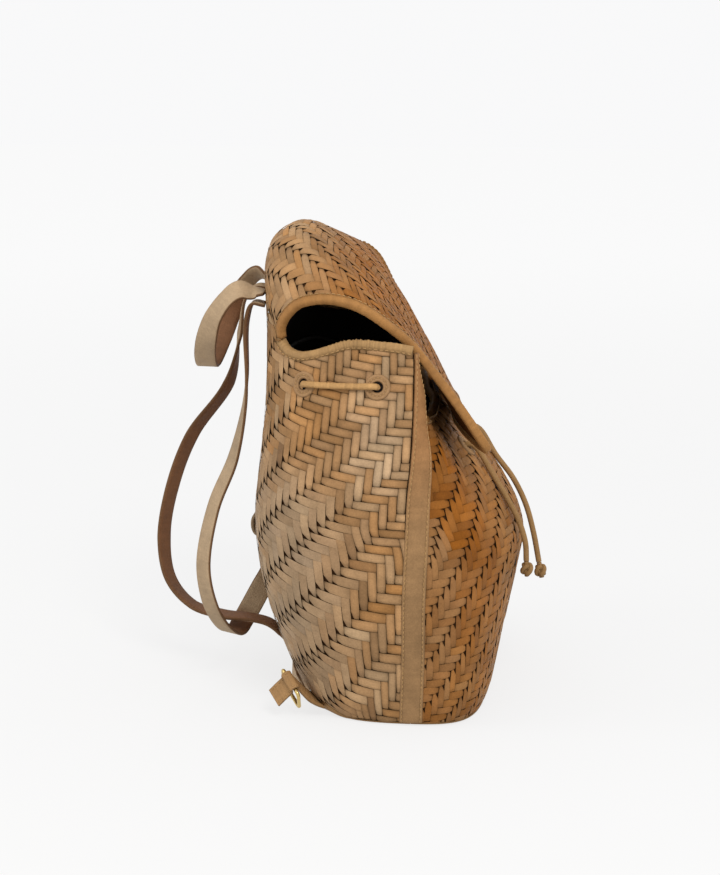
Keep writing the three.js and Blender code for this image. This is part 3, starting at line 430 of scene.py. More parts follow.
class Builder:
    """Collects grids of points into one mesh, with a tint at every point."""

    def __init__(self):
        self.points = []
        self.quads = []
        self.tints = []
        self.finishes = []
        self.count = 0

    def add(self, points, tint, finish=0, closed=False):
        """Adds grids of shape (number, rows, columns, 3); closed joins each row's ends."""
        points = np.asarray(points, float)
        if points.ndim == 3:
            points = points[None]
        number, rows, columns = points.shape[:3]
        index = self.count + np.arange(number * rows * columns).reshape(number, rows, columns)
        if closed:
            index = np.concatenate((index, index[:, :, :1]), axis=2)
        corners = (index[:, :-1, :-1], index[:, :-1, 1:], index[:, 1:, 1:], index[:, 1:, :-1])
        self.points.append(points.reshape(-1, 3))
        self.tints.append(np.broadcast_to(tint, points.shape).reshape(-1, 3))
        self.quads.append(np.stack(corners, axis=-1).reshape(-1, 4))
        self.finishes.append(np.broadcast_to(finish, corners[0].shape).ravel())
        self.count += points.size // 3

    def sweep(self, at, right, up, section, tint, loop=False):
        """Carries a closed section along a line of frames; section may have one row for each frame."""
        section = np.asarray(section, float)
        if section.ndim == 2:
            section = np.broadcast_to(section, (len(at),) + section.shape)
        rings = at[:, None] + right[:, None] * section[..., :1] + up[:, None] * section[..., 1:]
        tint = np.broadcast_to(tint, rings.shape)
        if loop:
            rings = np.concatenate((rings, rings[:1]))
            tint = np.concatenate((tint, tint[:1]))
        else:
            shrink = np.array((0.98, 0.5, 0.02))[:, None, None]
            start, end = (ring.mean(axis=0) + (ring - ring.mean(axis=0)) * shrink for ring in rings[[0, -1]])
            rings = np.concatenate((start[::-1], rings, end))
            tint = np.concatenate((np.repeat(tint[:1], 3, axis=0), tint, np.repeat(tint[-1:], 3, axis=0)))
        self.add(rings, tint, closed=True)

    def stitch(self, line, run, out, places, length, radius=0.4):
        """Short rounded threads at places along a line, lying along its run on the face that out leaves."""
        index = np.arange(len(line))
        at, run, out = (read_rows(places, index, rows)[:, None, None] for rows in (line, run, out))
        run = unit(run)
        out = unit(out)
        lengthwise = np.array((-0.5, -0.42, 0.42, 0.5))[:, None, None] * length
        girth = np.array((0.25, 1, 1, 0.25))[:, None, None] * radius
        angle = full_turn(6)[:, None]
        ring = np.cross(out, run) * np.cos(angle) + out * np.sin(angle)
        self.add(at + run * lengthwise + ring * girth, THREAD, closed=True)

    def build(self, name, slot, node_name, *second):
        """Makes the piece in its slot's material, and a second one for the faces that have that finish."""
        mesh = bpy.data.meshes.new(name)
        points = np.vstack(self.points) * MM
        mesh.from_pydata(points.tolist(), [], np.vstack(self.quads).tolist())
        mesh.polygons.foreach_set("use_smooth", np.ones(len(mesh.polygons), bool))
        mesh.polygons.foreach_set("material_index", np.concatenate(self.finishes).astype(np.int32))
        tints = np.hstack((np.vstack(self.tints), np.ones((len(points), 1))))
        mesh.color_attributes.new("tint", "FLOAT_COLOR", "POINT").data.foreach_set("color", tints.ravel())
        for material in (MATERIALS[slot], *second):
            mesh.materials.append(material)
        mesh.update()
        return place_piece(bpy.data.objects.new(name, mesh), node_name)


def place_piece(piece, node_name):
    bpy.context.scene.collection.objects.link(piece)
    bpy.context.view_layer.update()
    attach(piece, "root")
    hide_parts(node_name)
    return piece


def swept_piece(name, slot, node_name, frames, section, tint, loop=False):
    """A piece that is one section carried along its frames."""
    builder = Builder()
    builder.sweep(*frames, section, tint, loop)
    builder.build(name, slot, node_name)


def full_turn(count):
    return np.linspace(0, 2 * math.pi, count, endpoint=False)


def ellipse(width, height, sides, power=2.0):
    """A round section, squarer as its power rises."""
    angle = full_turn(sides)
    round_part = rows_of(np.cos(angle), np.sin(angle))
    return np.array((width, height)) / 2 * np.sign(round_part) * np.abs(round_part) ** (2 / power)


def tube_frames(route, count):
    """Frames along a route that turn as little as they can."""
    share = np.linspace(0, 1, count)
    tangent = route.tangent(share)
    right = np.array((0.0, 0.0, 1.0))
    rights = []
    for direction in tangent:
        right = square_to(right, direction)
        rights.append(right)
    return route.at(share), np.array(rights), np.cross(tangent, rights)


def strap_frames(rows, count):
    """Frames of a flat strap: its route, with the width's direction squared to it."""
    route = Route([place for place, _ in rows])
    share = np.linspace(0, 1, count)
    wides = unit([wide for _, wide in rows])
    place = np.clip(route.place(share), 0, len(rows) - 1 - 1e-6)
    row = place.astype(int)
    tangent = route.tangent(share)
    wide = square_to(blend(wides[row], wides[row + 1], place - row), tangent)
    return route.at(share), wide, np.cross(tangent, wide), tangent


def mirror(rows):
    return [((-x, y, z), (-a, b, c)) for (x, y, z), (a, b, c) in rows]


def spaced(points, gap):
    """Even places along a line of points, as fractions of its index."""
    lengths = line_lengths(points)
    count = int(lengths[-1] // gap)
    goals = (np.arange(count) + 0.5) * lengths[-1] / count
    return np.interp(goals, lengths, np.arange(len(points)))


# Materials

TAN = colour(146, 114, 80)
GOLD = colour(152, 107, 60)
PALE = colour(168, 142, 110)
SILVER = colour(182, 162, 136)
BROWN = colour(98, 67, 42)
GREY = colour(136, 118, 98)
AMBER = colour(134, 79, 22)
RUST = colour(100, 55, 14)
SUEDE_BROWN = colour(82, 52, 28)
THREAD = colour(160, 126, 84)
BAND_TAN = colour(138, 107, 73)
BAND_GOLD = colour(144, 104, 66)
EDGE_TAN = colour(148, 106, 61)
FOOT_TAN = colour(138, 106, 70)
RIM_TAN = colour(150, 118, 78)
STRAP_PALE = colour(160, 137, 109)
STRAP_DARK = colour(114, 80, 56)
STRAP_EDGE = colour(98, 71, 48)
LACE_TAN = colour(166, 129, 84)
# The free ends' lace: the lace's own tan, darkened as painted shade
SHADED_CORD_TAN = LACE_TAN * 0.68
LIT_LINING_GREY = colour(140, 132, 122)
HOLE = colour(22, 14, 10)
SHADED_GAP_BROWN = colour(64, 42, 25)
BRASS_TINT = colour(200, 170, 90)


def node(tree, kind, **values):
    """A shader node with its sockets and settings given by name."""
    made = tree.nodes.new(kind)
    for name, value in values.items():
        label = name.replace("_", " ").title()
        if label in made.inputs:
            made.inputs[label].default_value = value
        else:
            setattr(made, name, value)
    return made


def new_material(name, constants):
    """A node material with its tree, its shader with constants set, and the piece's own coordinates."""
    material = bpy.data.materials.new(name)
    material.use_nodes = True
    tree = material.node_tree
    shader = tree.nodes["Principled BSDF"]
    for socket, value in constants.items():
        shader.inputs[socket].default_value = value
    return material, tree, shader, node(tree, "ShaderNodeTexCoord").outputs["Object"]


def texture(tree, kind, place, output="Fac", **values):
    made = node(tree, kind, **values)
    tree.links.new(place, made.inputs["Vector"])
    return made.outputs[output]


def remapped(tree, source, span, goal, **settings):
    """A value moved from one span to another."""
    made = node(tree, "ShaderNodeMapRange", from_min=span[0], from_max=span[1],
                to_min=goal[0], to_max=goal[1], **settings)
    tree.links.new(source, made.inputs["Value"])
    return made.outputs["Result"]


def combined(tree, operation, first, second):
    made = node(tree, "ShaderNodeMath", operation=operation)
    tree.links.new(first, made.inputs[0])
    tree.links.new(second, made.inputs[1])
    return made.outputs[0]


def ramp(tree, source, low, high):
    """A colour between two, by a value from 0 to 1."""
    made = node(tree, "ShaderNodeValToRGB")
    made.color_ramp.elements[0].color = (*low, 1)
    made.color_ramp.elements[1].color = (*high, 1)
    tree.links.new(source, made.inputs["Fac"])
    return made.outputs["Color"]


def leather(name, mottle, grain_size, grain_depth, roughness, shine=0.08):
    """Leather whose colour comes from the points' tint, mottled, with fine grain and creases."""
    material, tree, shader, place = new_material(name, {"Specular IOR Level": shine})
    link = tree.links.new
    tint = node(tree, "ShaderNodeAttribute", attribute_name="tint")
    clouds = texture(tree, "ShaderNodeTexNoise", place, scale=70.0, detail=5.0, roughness=0.6)
    specks = texture(tree, "ShaderNodeTexNoise", place, scale=700.0, detail=3.0, roughness=0.6)
    grain = texture(tree, "ShaderNodeTexVoronoi", place, "Distance", scale=1000.0 / grain_size)
    light = remapped(tree, clouds, (0.25, 0.75), (1 - mottle, 1 + mottle * 0.6))
    fleck = remapped(tree, specks, (0.3, 0.7), (0.9, 1.08))
    shade = node(tree, "ShaderNodeVectorMath", operation="SCALE")
    link(tint.outputs["Color"], shade.inputs[0])
    link(combined(tree, "MULTIPLY", light, fleck), shade.inputs["Scale"])
    link(shade.outputs[0], shader.inputs["Base Color"])
    link(remapped(tree, clouds, (0.3, 0.7), (roughness - 0.08, roughness + 0.1)), shader.inputs["Roughness"])
    bump = node(tree, "ShaderNodeBump", strength=grain_depth, distance=0.0004)
    link(combined(tree, "ADD", grain, specks), bump.inputs["Height"])
    link(bump.outputs["Normal"], shader.inputs["Normal"])
    return material


def lace_material():
    """The lace's leather for curves, which carry no tint: its colour is set in the nodes."""
    material = MATERIALS["lace_leather"].copy()
    tree = material.node_tree
    source = next(n for n in tree.nodes if n.bl_idname == "ShaderNodeAttribute")
    scale = next(n for n in tree.nodes if n.bl_idname == "ShaderNodeVectorMath")
    tree.nodes.remove(source)
    # Painted shade: the free ends take the lace's tan, darkened
    scale.inputs[0].default_value = SHADED_CORD_TAN
    return material


def brass():
    material, tree, shader, place = new_material("brass", {"Metallic": 1.0})
    smudge = texture(tree, "ShaderNodeTexNoise", place, scale=400.0, detail=4.0)
    shine = ramp(tree, smudge, colour(176, 142, 74), colour(226, 204, 140))
    tree.links.new(shine, shader.inputs["Base Color"])
    tree.links.new(remapped(tree, smudge, (0, 1), (0.2, 0.45)), shader.inputs["Roughness"])
    return material


def lining():
    """The dark cloth inside the bag, with a fine woven pattern."""
    constants = {"Roughness": 0.9, "Specular IOR Level": 0.05}
    material, tree, shader, place = new_material("lining", constants)
    threads = texture(tree, "ShaderNodeTexWave", place, scale=300.0, distortion=2.0)
    cloth = ramp(tree, threads, (0.004, 0.003, 0.003), (0.012, 0.009, 0.008))
    tree.links.new(cloth, shader.inputs["Base Color"])
    return material


MATERIALS = {
    "woven_leather": leather("woven_leather", 0.24, 1.1, 0.4, 0.5, 0.03),
    "smooth_leather": leather("smooth_leather", 0.22, 0.9, 0.4, 0.55),
    "edge_leather": leather("edge_leather", 0.2, 0.9, 0.35, 0.5),
    "strap_leather": leather("strap_leather", 0.18, 1.0, 0.4, 0.6),
    "lace_leather": leather("lace_leather", 0.2, 1.2, 0.5, 0.55),
    "ring_brass": brass(),
}
LINING = lining()
SUEDE = leather("suede", 0.3, 1.4, 0.5, 0.85, 0.0)


# Camera

CAMERA_PLACE = (-1552.9, -131.4, 550.6)
CAMERA_TARGET = (0, 31.8, 201.5)
CAMERA_LENS = 80.38


def place_facing(name, data, place, target):
    """Puts a camera or a light at a place, in metres, turned to its target."""
    made = bpy.data.objects.new(name, data)
    bpy.context.scene.collection.objects.link(made)
    made.location = place
    made.rotation_euler = (Vector(target) - Vector(place)).to_track_quat("-Z", "Y").to_euler()
    return made


def add_camera():
    data = bpy.data.cameras.new("camera")
    data.sensor_width = 36
    data.lens = CAMERA_LENS
    data.clip_end = 50
    made = place_facing("camera", data, Vector(CAMERA_PLACE) * MM, Vector(CAMERA_TARGET) * MM)
    bpy.context.scene.camera = made


# The lace's free ends and their knots

def side_share(word, along):
    return along if word == "left" else 2 - along


def front_share(word, across):
    """The front panel's share at a distance from its middle, on the eyelets' course."""
    shares = np.linspace(0, 1, 801)
    found = np.interp(-across, front_point(shares, FRONT_EYELET_COURSE)[:, 0], shares)
    return side_share(word, float(found))


def cord_route(word):
    at, _, up, normal = front.face(front_share(word, FRONT_EYELET_ACROSS), FRONT_EYELET_COURSE)
    start = [at + normal * out - up * drop for out, drop in ((1.2, 0), (4.2, 0.6), (6, 5), (6, 11))]
    return Route([*start, *CORD_ENDS[word]])


def knot(word, route):
    """An overhand knot: a tube that follows a trefoil, pulled long along the lace."""
    along = route.tangent(np.array(1.0))
    across = square_to(np.array((1.0, 0.0, 0.0)), along)
    other = np.cross(along, across)
    half = KNOT_LENGTH / 2
    centre = route.at(np.array(1.0)) + along * (half + GAP)
    turn = full_turn(96)
    radius = (2 + np.cos(3 * turn)) / 3
    reach = (KNOT_RADIUS - KNOT_LACE + 0.6) * radius
    path = (centre + np.outer(reach * np.cos(2 * turn), across) + np.outer(reach * np.sin(2 * turn), other)
            + np.outer((half - KNOT_LACE) * 0.62 * np.sin(3 * turn), along))
    tangent = unit(np.roll(path, -1, axis=0) - np.roll(path, 1, axis=0))
    right = square_to(path - centre, tangent)
    builder = Builder()
    # Painted shade: the knot's lace is darker where it turns in toward the knot's middle
    tint = SHADED_CORD_TAN * (0.8 + 0.2 * radius)[:, None, None]
    section = ellipse(2 * KNOT_LACE, 2 * KNOT_LACE, 10)
    builder.sweep(path, right, np.cross(tangent, right), section, tint, loop=True)
    tail = Route([centre - along * half * 0.98, centre, centre + along * half * 0.86 + across * 0.6])
    builder.sweep(*tube_frames(tail, 8), ellipse(LACE * 0.95, LACE * 0.8, 10), SHADED_CORD_TAN)
    return builder.build("knot_end_" + word, "lace_leather", "knot_" + word)


def free_cord(word):
    name = "lace_end_" + word
    route = cord_route(word)
    data = bpy.data.curves.new(name, "CURVE")
    data.dimensions = "3D"
    data.bevel_depth = LACE / 2 * MM
    data.bevel_resolution = 4
    data.use_fill_caps = True
    spline = data.splines.new("POLY")
    points = route.at(np.linspace(0, 1, 40)) * MM
    spline.points.add(len(points) - 1)
    for point, place in zip(spline.points, points):
        point.co = (*place, 1)
    data.materials.append(lace_material())
    piece = place_piece(bpy.data.objects.new(name, data), "cord_end_" + word)
    end = knot(word, route)


# Woven walls: floats of flat strips, in cells of one strip's width

OVER = 3
FLOAT_LENGTH = np.array((-1.74, -1.6, -1.42, -0.8, 0.0, 0.8, 1.42, 1.6, 1.74))
FLOAT_WIDTH = np.array((-1.0, -0.86, -0.4, 0.4, 0.86, 1.0))
HALF_WIDTH = 0.49
GAPING_WIDER = 0.016
WIDTH_SPREAD = 0.008
SKEW_SPREAD = 0.012
RISE_SPREAD = 0.12
SHEAR = 0.05
# Where a float's tip, its dip and its end shade start, from its middle, and how long each takes
TIP_START = 0.7
TIP_SPAN = 0.8
DIP_START = 1.3
DIP_SPAN = 0.42
SHADE_START = 1.36
SHADE_SPAN = 0.26
# The taper at a float's tip where the weave is tight, and what a gaping weave adds to it
LEVEL_TAPER = (0.03, 0.3)
UPRIGHT_TAPER = (0.12, 0.5)
TAPER_SHIFT = 0.8
# Heights over the wall, in millimetres, and how far floats join where the weave gapes
FLOAT_RISE = 1.15
FLOAT_SINK = 1.0
EDGE_DROP = 0.6
SIDES_JOIN = 0.96
ENDS_JOIN = 0.85
# Light and shade along a float and towards its edges
MIDDLE_LIGHT = 1.08
LENGTH_SHADE = 0.14
END_SHADE = 0.62
EDGE_SHADE = 0.66
SHELL_DEPTH = 0.7
FOOT_HEIGHT = 3.0
FOOT_CORNER = 9.0
PART_OPEN = 0.75


def twill(columns, rows, lean):
    """The floats of a three-over, three-under twill: centres in cells, and which lie along their row."""
    i, j = np.meshgrid(np.arange(-OVER, columns + OVER), np.arange(-OVER, rows + OVER), indexing="ij")
    phase = (i + lean * j) % (2 * OVER)
    level = phase == 0
    upright = phase == (OVER if lean > 0 else 2 * OVER - 1)
    centre_s = np.concatenate((i[level] + OVER / 2, i[upright] + 0.5))
    centre_t = np.concatenate((j[level] + 0.5, j[upright] + OVER / 2))
    return centre_s, centre_t, np.arange(len(centre_s)) < level.sum()


def weave(builder, surface, to_wall, size, lean, tone, opening):
    """Lays every float of the twill on a wall; to_wall turns cells into the wall's own coordinates.

    Where the weave gapes, the floats come to a point at one end, and meet smoothly at the other.
    """
    s, t, along_row = twill(*size, lean)
    kept = to_wall(s, t)[2]
    s, t, flat = (values[kept][:, None, None] for values in (s, t, along_row))
    a, b, _ = to_wall(s[:, 0, 0], t[:, 0, 0])
    middle = surface.point(a, b)
    each = s.shape
    gape = opening(middle)[:, None, None]
    length = np.broadcast_to(FLOAT_LENGTH[None, :, None], (len(s), len(FLOAT_LENGTH), 1))
    toward = np.where(flat, length, -lean * length)
    tip = smooth((toward - TIP_START) / TIP_SPAN)
    half = HALF_WIDTH + GAPING_WIDER * gape + WIDTH_SPREAD * chance.standard_normal(each)
    skew = SKEW_SPREAD * chance.standard_normal(each) + SHEAR * gape
    level_taper = LEVEL_TAPER[0] + LEVEL_TAPER[1] * gape
    upright_taper = UPRIGHT_TAPER[0] + UPRIGHT_TAPER[1] * gape
    taper = np.where(flat, level_taper, upright_taper) * tip
    shift = np.where(flat, lean, -1) * TAPER_SHIFT * gape * half * taper
    width = FLOAT_WIDTH * half * (1 - taper) + shift + skew * length
    a, b, _ = to_wall(s + np.where(flat, length, width), t + np.where(flat, width, length))
    edge = np.abs(FLOAT_WIDTH) ** 6 * (1 - SIDES_JOIN * gape * (1 - tip))
    open_end = 1 - ENDS_JOIN * gape * (toward < 0)
    lift = FLOAT_RISE * (1 + RISE_SPREAD * chance.standard_normal(each).clip(-2, 2))
    dip = smooth((np.abs(length) - DIP_START) / DIP_SPAN)
    height = lift - (lift + FLOAT_SINK * open_end) * dip - EDGE_DROP * edge
    end_shade = END_SHADE * open_end * smooth((np.abs(length) - SHADE_START) / SHADE_SPAN)
    shade = MIDDLE_LIGHT - LENGTH_SHADE * (length / FLOAT_LENGTH[-1]) ** 2 - end_shade - EDGE_SHADE * edge
    points = surface.raised(a, b, height[..., None])
    builder.add(points, tone(middle)[:, None, None] * shade[..., None])


def mixed(number, *shares, firm=1.1):
    """A random colour for each float, mixed from leathers by their shares; a firm mix varies less."""
    weights = chance.dirichlet([firm * share for share, _ in shares], number)
    mix = weights @ np.array([leather_colour for _, leather_colour in shares])
    spread = 0.12 / math.sqrt(firm)
    return mix * (1 + spread * chance.standard_normal((number, 1))).clip(0.76, 1.24)


def clouded(tone, middle, size, depth):
    """A tone with slow waves of light and dark over the wall."""
    x, y, z = (middle / size).T
    wave = np.sin(1.3 * y + 0.7 * z + 0.6 * x) * np.sin(1.1 * z - 0.8 * y + 1.7 + 0.5 * x)
    return tone * (1 + depth * wave)[:, None]


def foot_edge(builder, surface, share, height, to_course):
    """The smooth leather that turns up over the foot of a wall, from under its edge."""
    level = np.array((0.0, 0.0, 0.4, 0.85, 1.0))[:, None]
    lift = np.array((-1.2, 1.6, 1.9, 1.9, 1.0))[:, None, None]
    shade = np.array((0.6, 0.75, 1.0, 0.95, 0.5))[:, None, None]
    points = surface.raised(share[None, :] + 0 * level, to_course(level * height), lift)
    builder.add(points, FOOT_TAN * shade)


def shell(builder, surface, a, b, inner=HOLE):
    """The wall under the floats: its outside is the brown leather beneath, darkened as painted shade in the
    gaps, with its inner face in a second material.
    """
    points = surface.point(a, b)
    normal = surface.normal(a, b)
    loop = np.concatenate((points - normal * SHELL_DEPTH, (points - normal * WALL)[::-1]))
    outer_tint = np.broadcast_to(SHADED_GAP_BROWN, points.shape)
    tint = np.concatenate((outer_tint, np.broadcast_to(inner, points.shape)[::-1]))
    finish = np.arange(len(loop)) >= len(points)
    builder.add(np.swapaxes(loop, 0, 1), np.swapaxes(tint, 0, 1), finish, closed=True)


WRAP_CELLS = (68, 72)
WRAP_SLANT = 34.0
# Patches of the side: the y and z of their middle and how far they reach
GOLDEN_PATCH = ((50, 30), (224, 42))
RUBBED_SHEEN_PATCH = ((6, 18), (228, 46))


def patch(middle, spot):
    """How far each place lies in a soft round patch, from 0 to 1."""
    (y, wide), (z, high) = spot
    return np.exp(-((middle[:, 1] - y) / wide) ** 2 - ((middle[:, 2] - z) / high) ** 2)


def wrap_cells(s, t):
    """The wrap's cells: the courses climb from the side seams to the back, more so low down."""
    share = 2 * s / WRAP_CELLS[0]
    along = np.where(share <= 1, share, 2 - share)
    low = smooth((190 - t * PITCH) / 170)
    near_seam = (0.55 + 0.45 * low) * (1 - smooth(along / 0.75))
    slant = WRAP_SLANT * (near_seam + low * (1 - smooth((along - 0.2) / 0.45)))
    climb = t * PITCH - slant
    top = climb_at(rim_height(np.clip(share, 0, 2)) - 0.5)
    kept = (share > -0.03) & (share < 2.03) & (climb > -1.5 * PITCH) & (climb < top + 1.5 * PITCH)
    return np.clip(share, 0, 2), height_at(np.clip(climb, 0, top)), kept


def wrap_tone(middle):
    count = len(middle)
    _, y, z = middle.T
    fresh = mixed(count, (1.6, TAN), (0.8, PALE), (1.2, GOLD), (0.3, BROWN))
    golden = mixed(count, (1.0, TAN), (2.4, GOLD), (0.3, BROWN))
    # Greyer, paler floats over the low back
    greyer_behind = mixed(count, (1.5, GREY), (0.8, PALE), (0.8, TAN), firm=4.0)
    # Pale silvery floats where the leather is rubbed near the back's middle, lighter also as painted sheen
    pale_with_sheen = mixed(count, (1.2, SILVER), (0.6, PALE), (0.6, GREY))
    tone = blend(fresh, golden, 0.85 * patch(middle, GOLDEN_PATCH))
    tone = blend(tone, greyer_behind, smooth((y - 5) / 70) * smooth((240 - z) / 90))
    tone = blend(tone, pale_with_sheen, patch(middle, RUBBED_SHEEN_PATCH) * chance.random(count))
    return clouded(tone, middle, 17, 0.14)


def wrap_opening(middle):
    """The weave gapes over the back and the low side behind."""
    _, y, z = middle.T
    return np.maximum(smooth(y / 45) * smooth((225 - z) / 60), smooth((y - 58) / 26))


def back_and_sides():
    builder = Builder()
    weave(builder, wrap, wrap_cells, WRAP_CELLS, 1, wrap_tone, wrap_opening)
    share = np.linspace(0, 2, 97)[None, :]
    top = climb_at(rim_height(share) - 0.5)
    shell(builder, wrap, share, height_at(top * (np.linspace(0, 1, 41) ** 1.5)[:, None]))
    foot = np.linspace(0, 2, 161)
    height = FOOT_HEIGHT + FOOT_CORNER * np.exp(-((wrap_point(foot, 3.0)[:, 1] - 44) / 9) ** 2)
    foot_edge(builder, wrap, foot, height, lambda z: z)
    builder.build("woven_back_and_sides", "woven_leather", "back_and_sides", LINING)


FRONT_CELLS = (52, 52)
FRONT_CLIMB = 10.0
FRONT_DROP = 12.0
front_courses = np.linspace(0, 1, 200)
front_mid_line = front_point(0.45, front_courses)
front_lengths = line_lengths(front_mid_line)


def front_cells(s, t):
    """The front's cells: the courses climb a little to its middle."""
    share = 2 * s / FRONT_CELLS[0]
    climb = FRONT_CLIMB * (1 - np.abs(1 - np.clip(share, 0, 2)))
    course = t * PITCH + climb - FRONT_DROP
    kept = (share > -0.05) & (share < 2.05)
    kept = kept & (course > -1.5 * PITCH) & (course < front_lengths[-1] + 1.5 * PITCH)
    return np.clip(share, 0, 2), np.interp(course, front_lengths, front_courses), kept


def front_tone(middle):
    count = len(middle)
    across = np.abs(middle[:, 0])
    height = middle[:, 2]
    # Painted shade: the front's amber and rust stand for the tan leather in shade with warm reflected light,
    # deepest up under the flap
    shaded_deep = mixed(count, (1.6, AMBER), (0.9, RUST), (0.4, GOLD), (0.2, TAN), (0.2, BROWN), firm=3.0)
    plain = mixed(count, (1.3, AMBER), (0.6, TAN), (0.6, BROWN), (0.7, GOLD), firm=3.0)
    beside_seam = mixed(count, (1.4, TAN), (1.2, GOLD), (0.3, PALE), (0.5, BROWN), firm=3.0)
    # Lighter tan toward the middle: the leather's own tan, lighter also as painted sheen
    pale_with_sheen = mixed(count, (1.2, GOLD), (1.0, TAN), (0.6, AMBER), (0.2, BROWN), firm=3.0)
    tone = blend(plain, shaded_deep, smooth((height - 60) / 90))
    near_seam = smooth((across - 122) / 12) * (0.4 + 0.4 * smooth((height - 90) / 60))
    tone = blend(tone, beside_seam, near_seam)
    tone = blend(tone, pale_with_sheen, 0.8 * smooth((100 - across) / 40))
    return clouded(tone, middle, 19, 0.1)


def part_open(middle):
    return np.full(len(middle), PART_OPEN)


def front_panel():
    builder = Builder()
    weave(builder, front, front_cells, FRONT_CELLS, -1, front_tone, part_open)
    shell(builder, front, np.linspace(0, 2, 61)[None, :], (np.linspace(0, 1, 33) ** 1.4)[:, None])
    foot = np.linspace(0, 2, 121)
    foot_edge(builder, front, foot, FOOT_HEIGHT, lambda z: np.interp(z, front_mid_line[:, 2], front_courses))
    builder.build("woven_front", "woven_leather", "front_panel", LINING)


FLAP_CELLS = (32, 48)
SEAM_REACH = 9.0


def flap_cells(s, t):
    columns, rows = FLAP_CELLS
    across = 2 * s / columns - 1
    along = t / rows
    kept = (np.abs(across) < 1 + OVER / columns) & (along > -0.03) & (along < 1.03)
    along = np.clip(along, 0, 0.995)
    reach = flap_reach(along) - 0.01
    return np.clip(across, -reach, reach), along, kept


def flap_tone(middle):
    count = len(middle)
    back = mixed(count, (1.4, TAN), (0.8, GOLD), (0.7, PALE), (0.3, BROWN), firm=3.5)
    top = mixed(count, (2.0, AMBER), (1.0, GOLD), (0.4, TAN), (0.3, BROWN), firm=4.0)
    return clouded(blend(back, top, smooth((80 - middle[:, 1]) / 60)), middle, 21, 0.09)


def seam_strip(across):
    """The flap's inner edge at the back, which reaches down behind the wall and closes the seam."""
    upper = np.full_like(across, 0.02)
    rise = flap_point(across, upper) - flap_point(across, 0 * upper)
    inner = flap_point(across, upper) - flap.normal(across, upper) * (WALL - 0.2)
    return np.stack((inner, inner - rise - unit(rise) * SEAM_REACH))


def flap_sheet_piece():
    builder = Builder()
    weave(builder, flap, flap_cells, FLAP_CELLS, 1, flap_tone, part_open)
    along = np.concatenate((np.linspace(0, 0.9, 40), np.linspace(0.91, 0.998, 10)))[:, None]
    across = np.linspace(-1, 1, 33)[None, :] * (flap_reach(along) - 0.005)
    # The flap's underside: painted shade, black near the back seam; then the lining's grey, brightened as
    # painted light coming in through the mouth; then the suede's own brown toward the front edge
    grey = LIT_LINING_GREY * smooth((along - 0.2) / 0.2)[..., None]
    shell(builder, flap, across, along, blend(grey, SUEDE_BROWN, smooth((along - 0.4) / 0.3)))
    builder.add(seam_strip(across[0]), HOLE, 1)
    builder.build("woven_flap", "woven_leather", "flap", SUEDE)


# Edges and bands

BINDING_MIDDLE = np.array((-1.3, -1.4))
BINDING_SIZE = (7.2, 8.0)
BINDING_STITCH = {"out": 2.35, "down": 3.9, "gap": 4.2, "length": 2.6}


def binding(name, node_name, surface, edge, behind, face, leather_colour=EDGE_TAN, gathered=0.0):
    """A folded strip over a wall's edge, with its stitches; where it is gathered it puckers more.

    The edge, a line behind it and a line on the wall's face are given in the wall's own coordinates.
    """
    at = surface.point(*edge)
    run = unit(np.gradient(at, axis=0))
    up = square_to(at - surface.point(*behind), run)
    right = np.cross(run, up)
    right = right * np.where(np.sum(right * surface.normal(*face), axis=-1, keepdims=True) < 0, -1, 1)
    section = ellipse(*BINDING_SIZE, 16, 3.0)
    count = len(at)
    wave = np.sin(np.arange(count) * 1.7) + chance.standard_normal(count)
    ripple = 1 + wave * (0.012 + 0.06 * gathered)
    tone = 1 + (0.05 + 0.1 * gathered) * chance.standard_normal(count)
    # Painted shade: the strip is darker on its lower part, toward the wall
    low = smooth((section[:, 1] + BINDING_MIDDLE[1] + 3.4) / 2.5)
    tint = leather_colour * tone[:, None, None] * (0.72 + 0.28 * low)[None, :, None]
    builder = Builder()
    builder.sweep(at, right, up, BINDING_MIDDLE + section * ripple[:, None, None], tint)
    line = at + right * BINDING_STITCH["out"] - up * BINDING_STITCH["down"]
    builder.stitch(line, run, right, spaced(line, BINDING_STITCH["gap"]), BINDING_STITCH["length"])
    builder.build(name, "edge_leather", node_name)


def mouth_binding(word):
    share = side_share(word, np.linspace(0.0, 0.57, 140))
    rim = rim_height(share)
    gathered = np.exp(-((1 - np.abs(1 - share) - 0.22) / 0.08) ** 2)
    binding("mouth_edge_" + word, "mouth_binding_" + word, wrap, (share, rim), (share, rim - 3),
            (share, rim), RIM_TAN, gathered)


def front_binding():
    share = np.linspace(0.18, 1.82, 150)
    top = np.ones_like(share)
    binding("front_edge", "front_binding", front, (share, top), (share, top - 0.02), (share, top))


def flap_binding():
    corner = np.linspace(0, math.pi / 2, 12)[1:]
    side = np.concatenate((np.linspace(0.0, 1 - CORNER_SHARE, 120), 1 - CORNER_SHARE * (1 - np.sin(corner))))
    straight = flap_reach(np.array(1.0))
    middle = np.linspace(-straight, straight, 60)[1:-1]
    across = np.concatenate((-flap_reach(side), middle, flap_reach(side)[::-1]))
    along = np.concatenate((side, np.ones(len(middle)), side[::-1]))
    behind = (across * 0.97, along - 0.015 * smooth((along - 1 + CORNER_SHARE) / CORNER_SHARE))
    binding("flap_edge", "flap_binding", flap, (across, along), behind, (across * 0.98, along - 0.01))


BAND_PROFILE = np.array((
    (0.0, 0.3), (0.1, 1.5), (0.9, 2.2), (2.4, 2.2), (3.0, 2.4), (9.0, 2.7), (15.0, 2.4), (15.6, 2.2),
    (17.1, 2.2), (17.9, 1.5), (18.0, 0.3), (9.0, 0.3),
))
BAND_SHADE = np.array((0.45, 0.8, 1.14, 0.84, 0.98, 1.02, 0.98, 0.84, 1.14, 0.8, 0.45, 0.5))
BAND_STITCH = {"in": 1.8, "out": 2.35, "gap": 4.0, "length": 2.7}


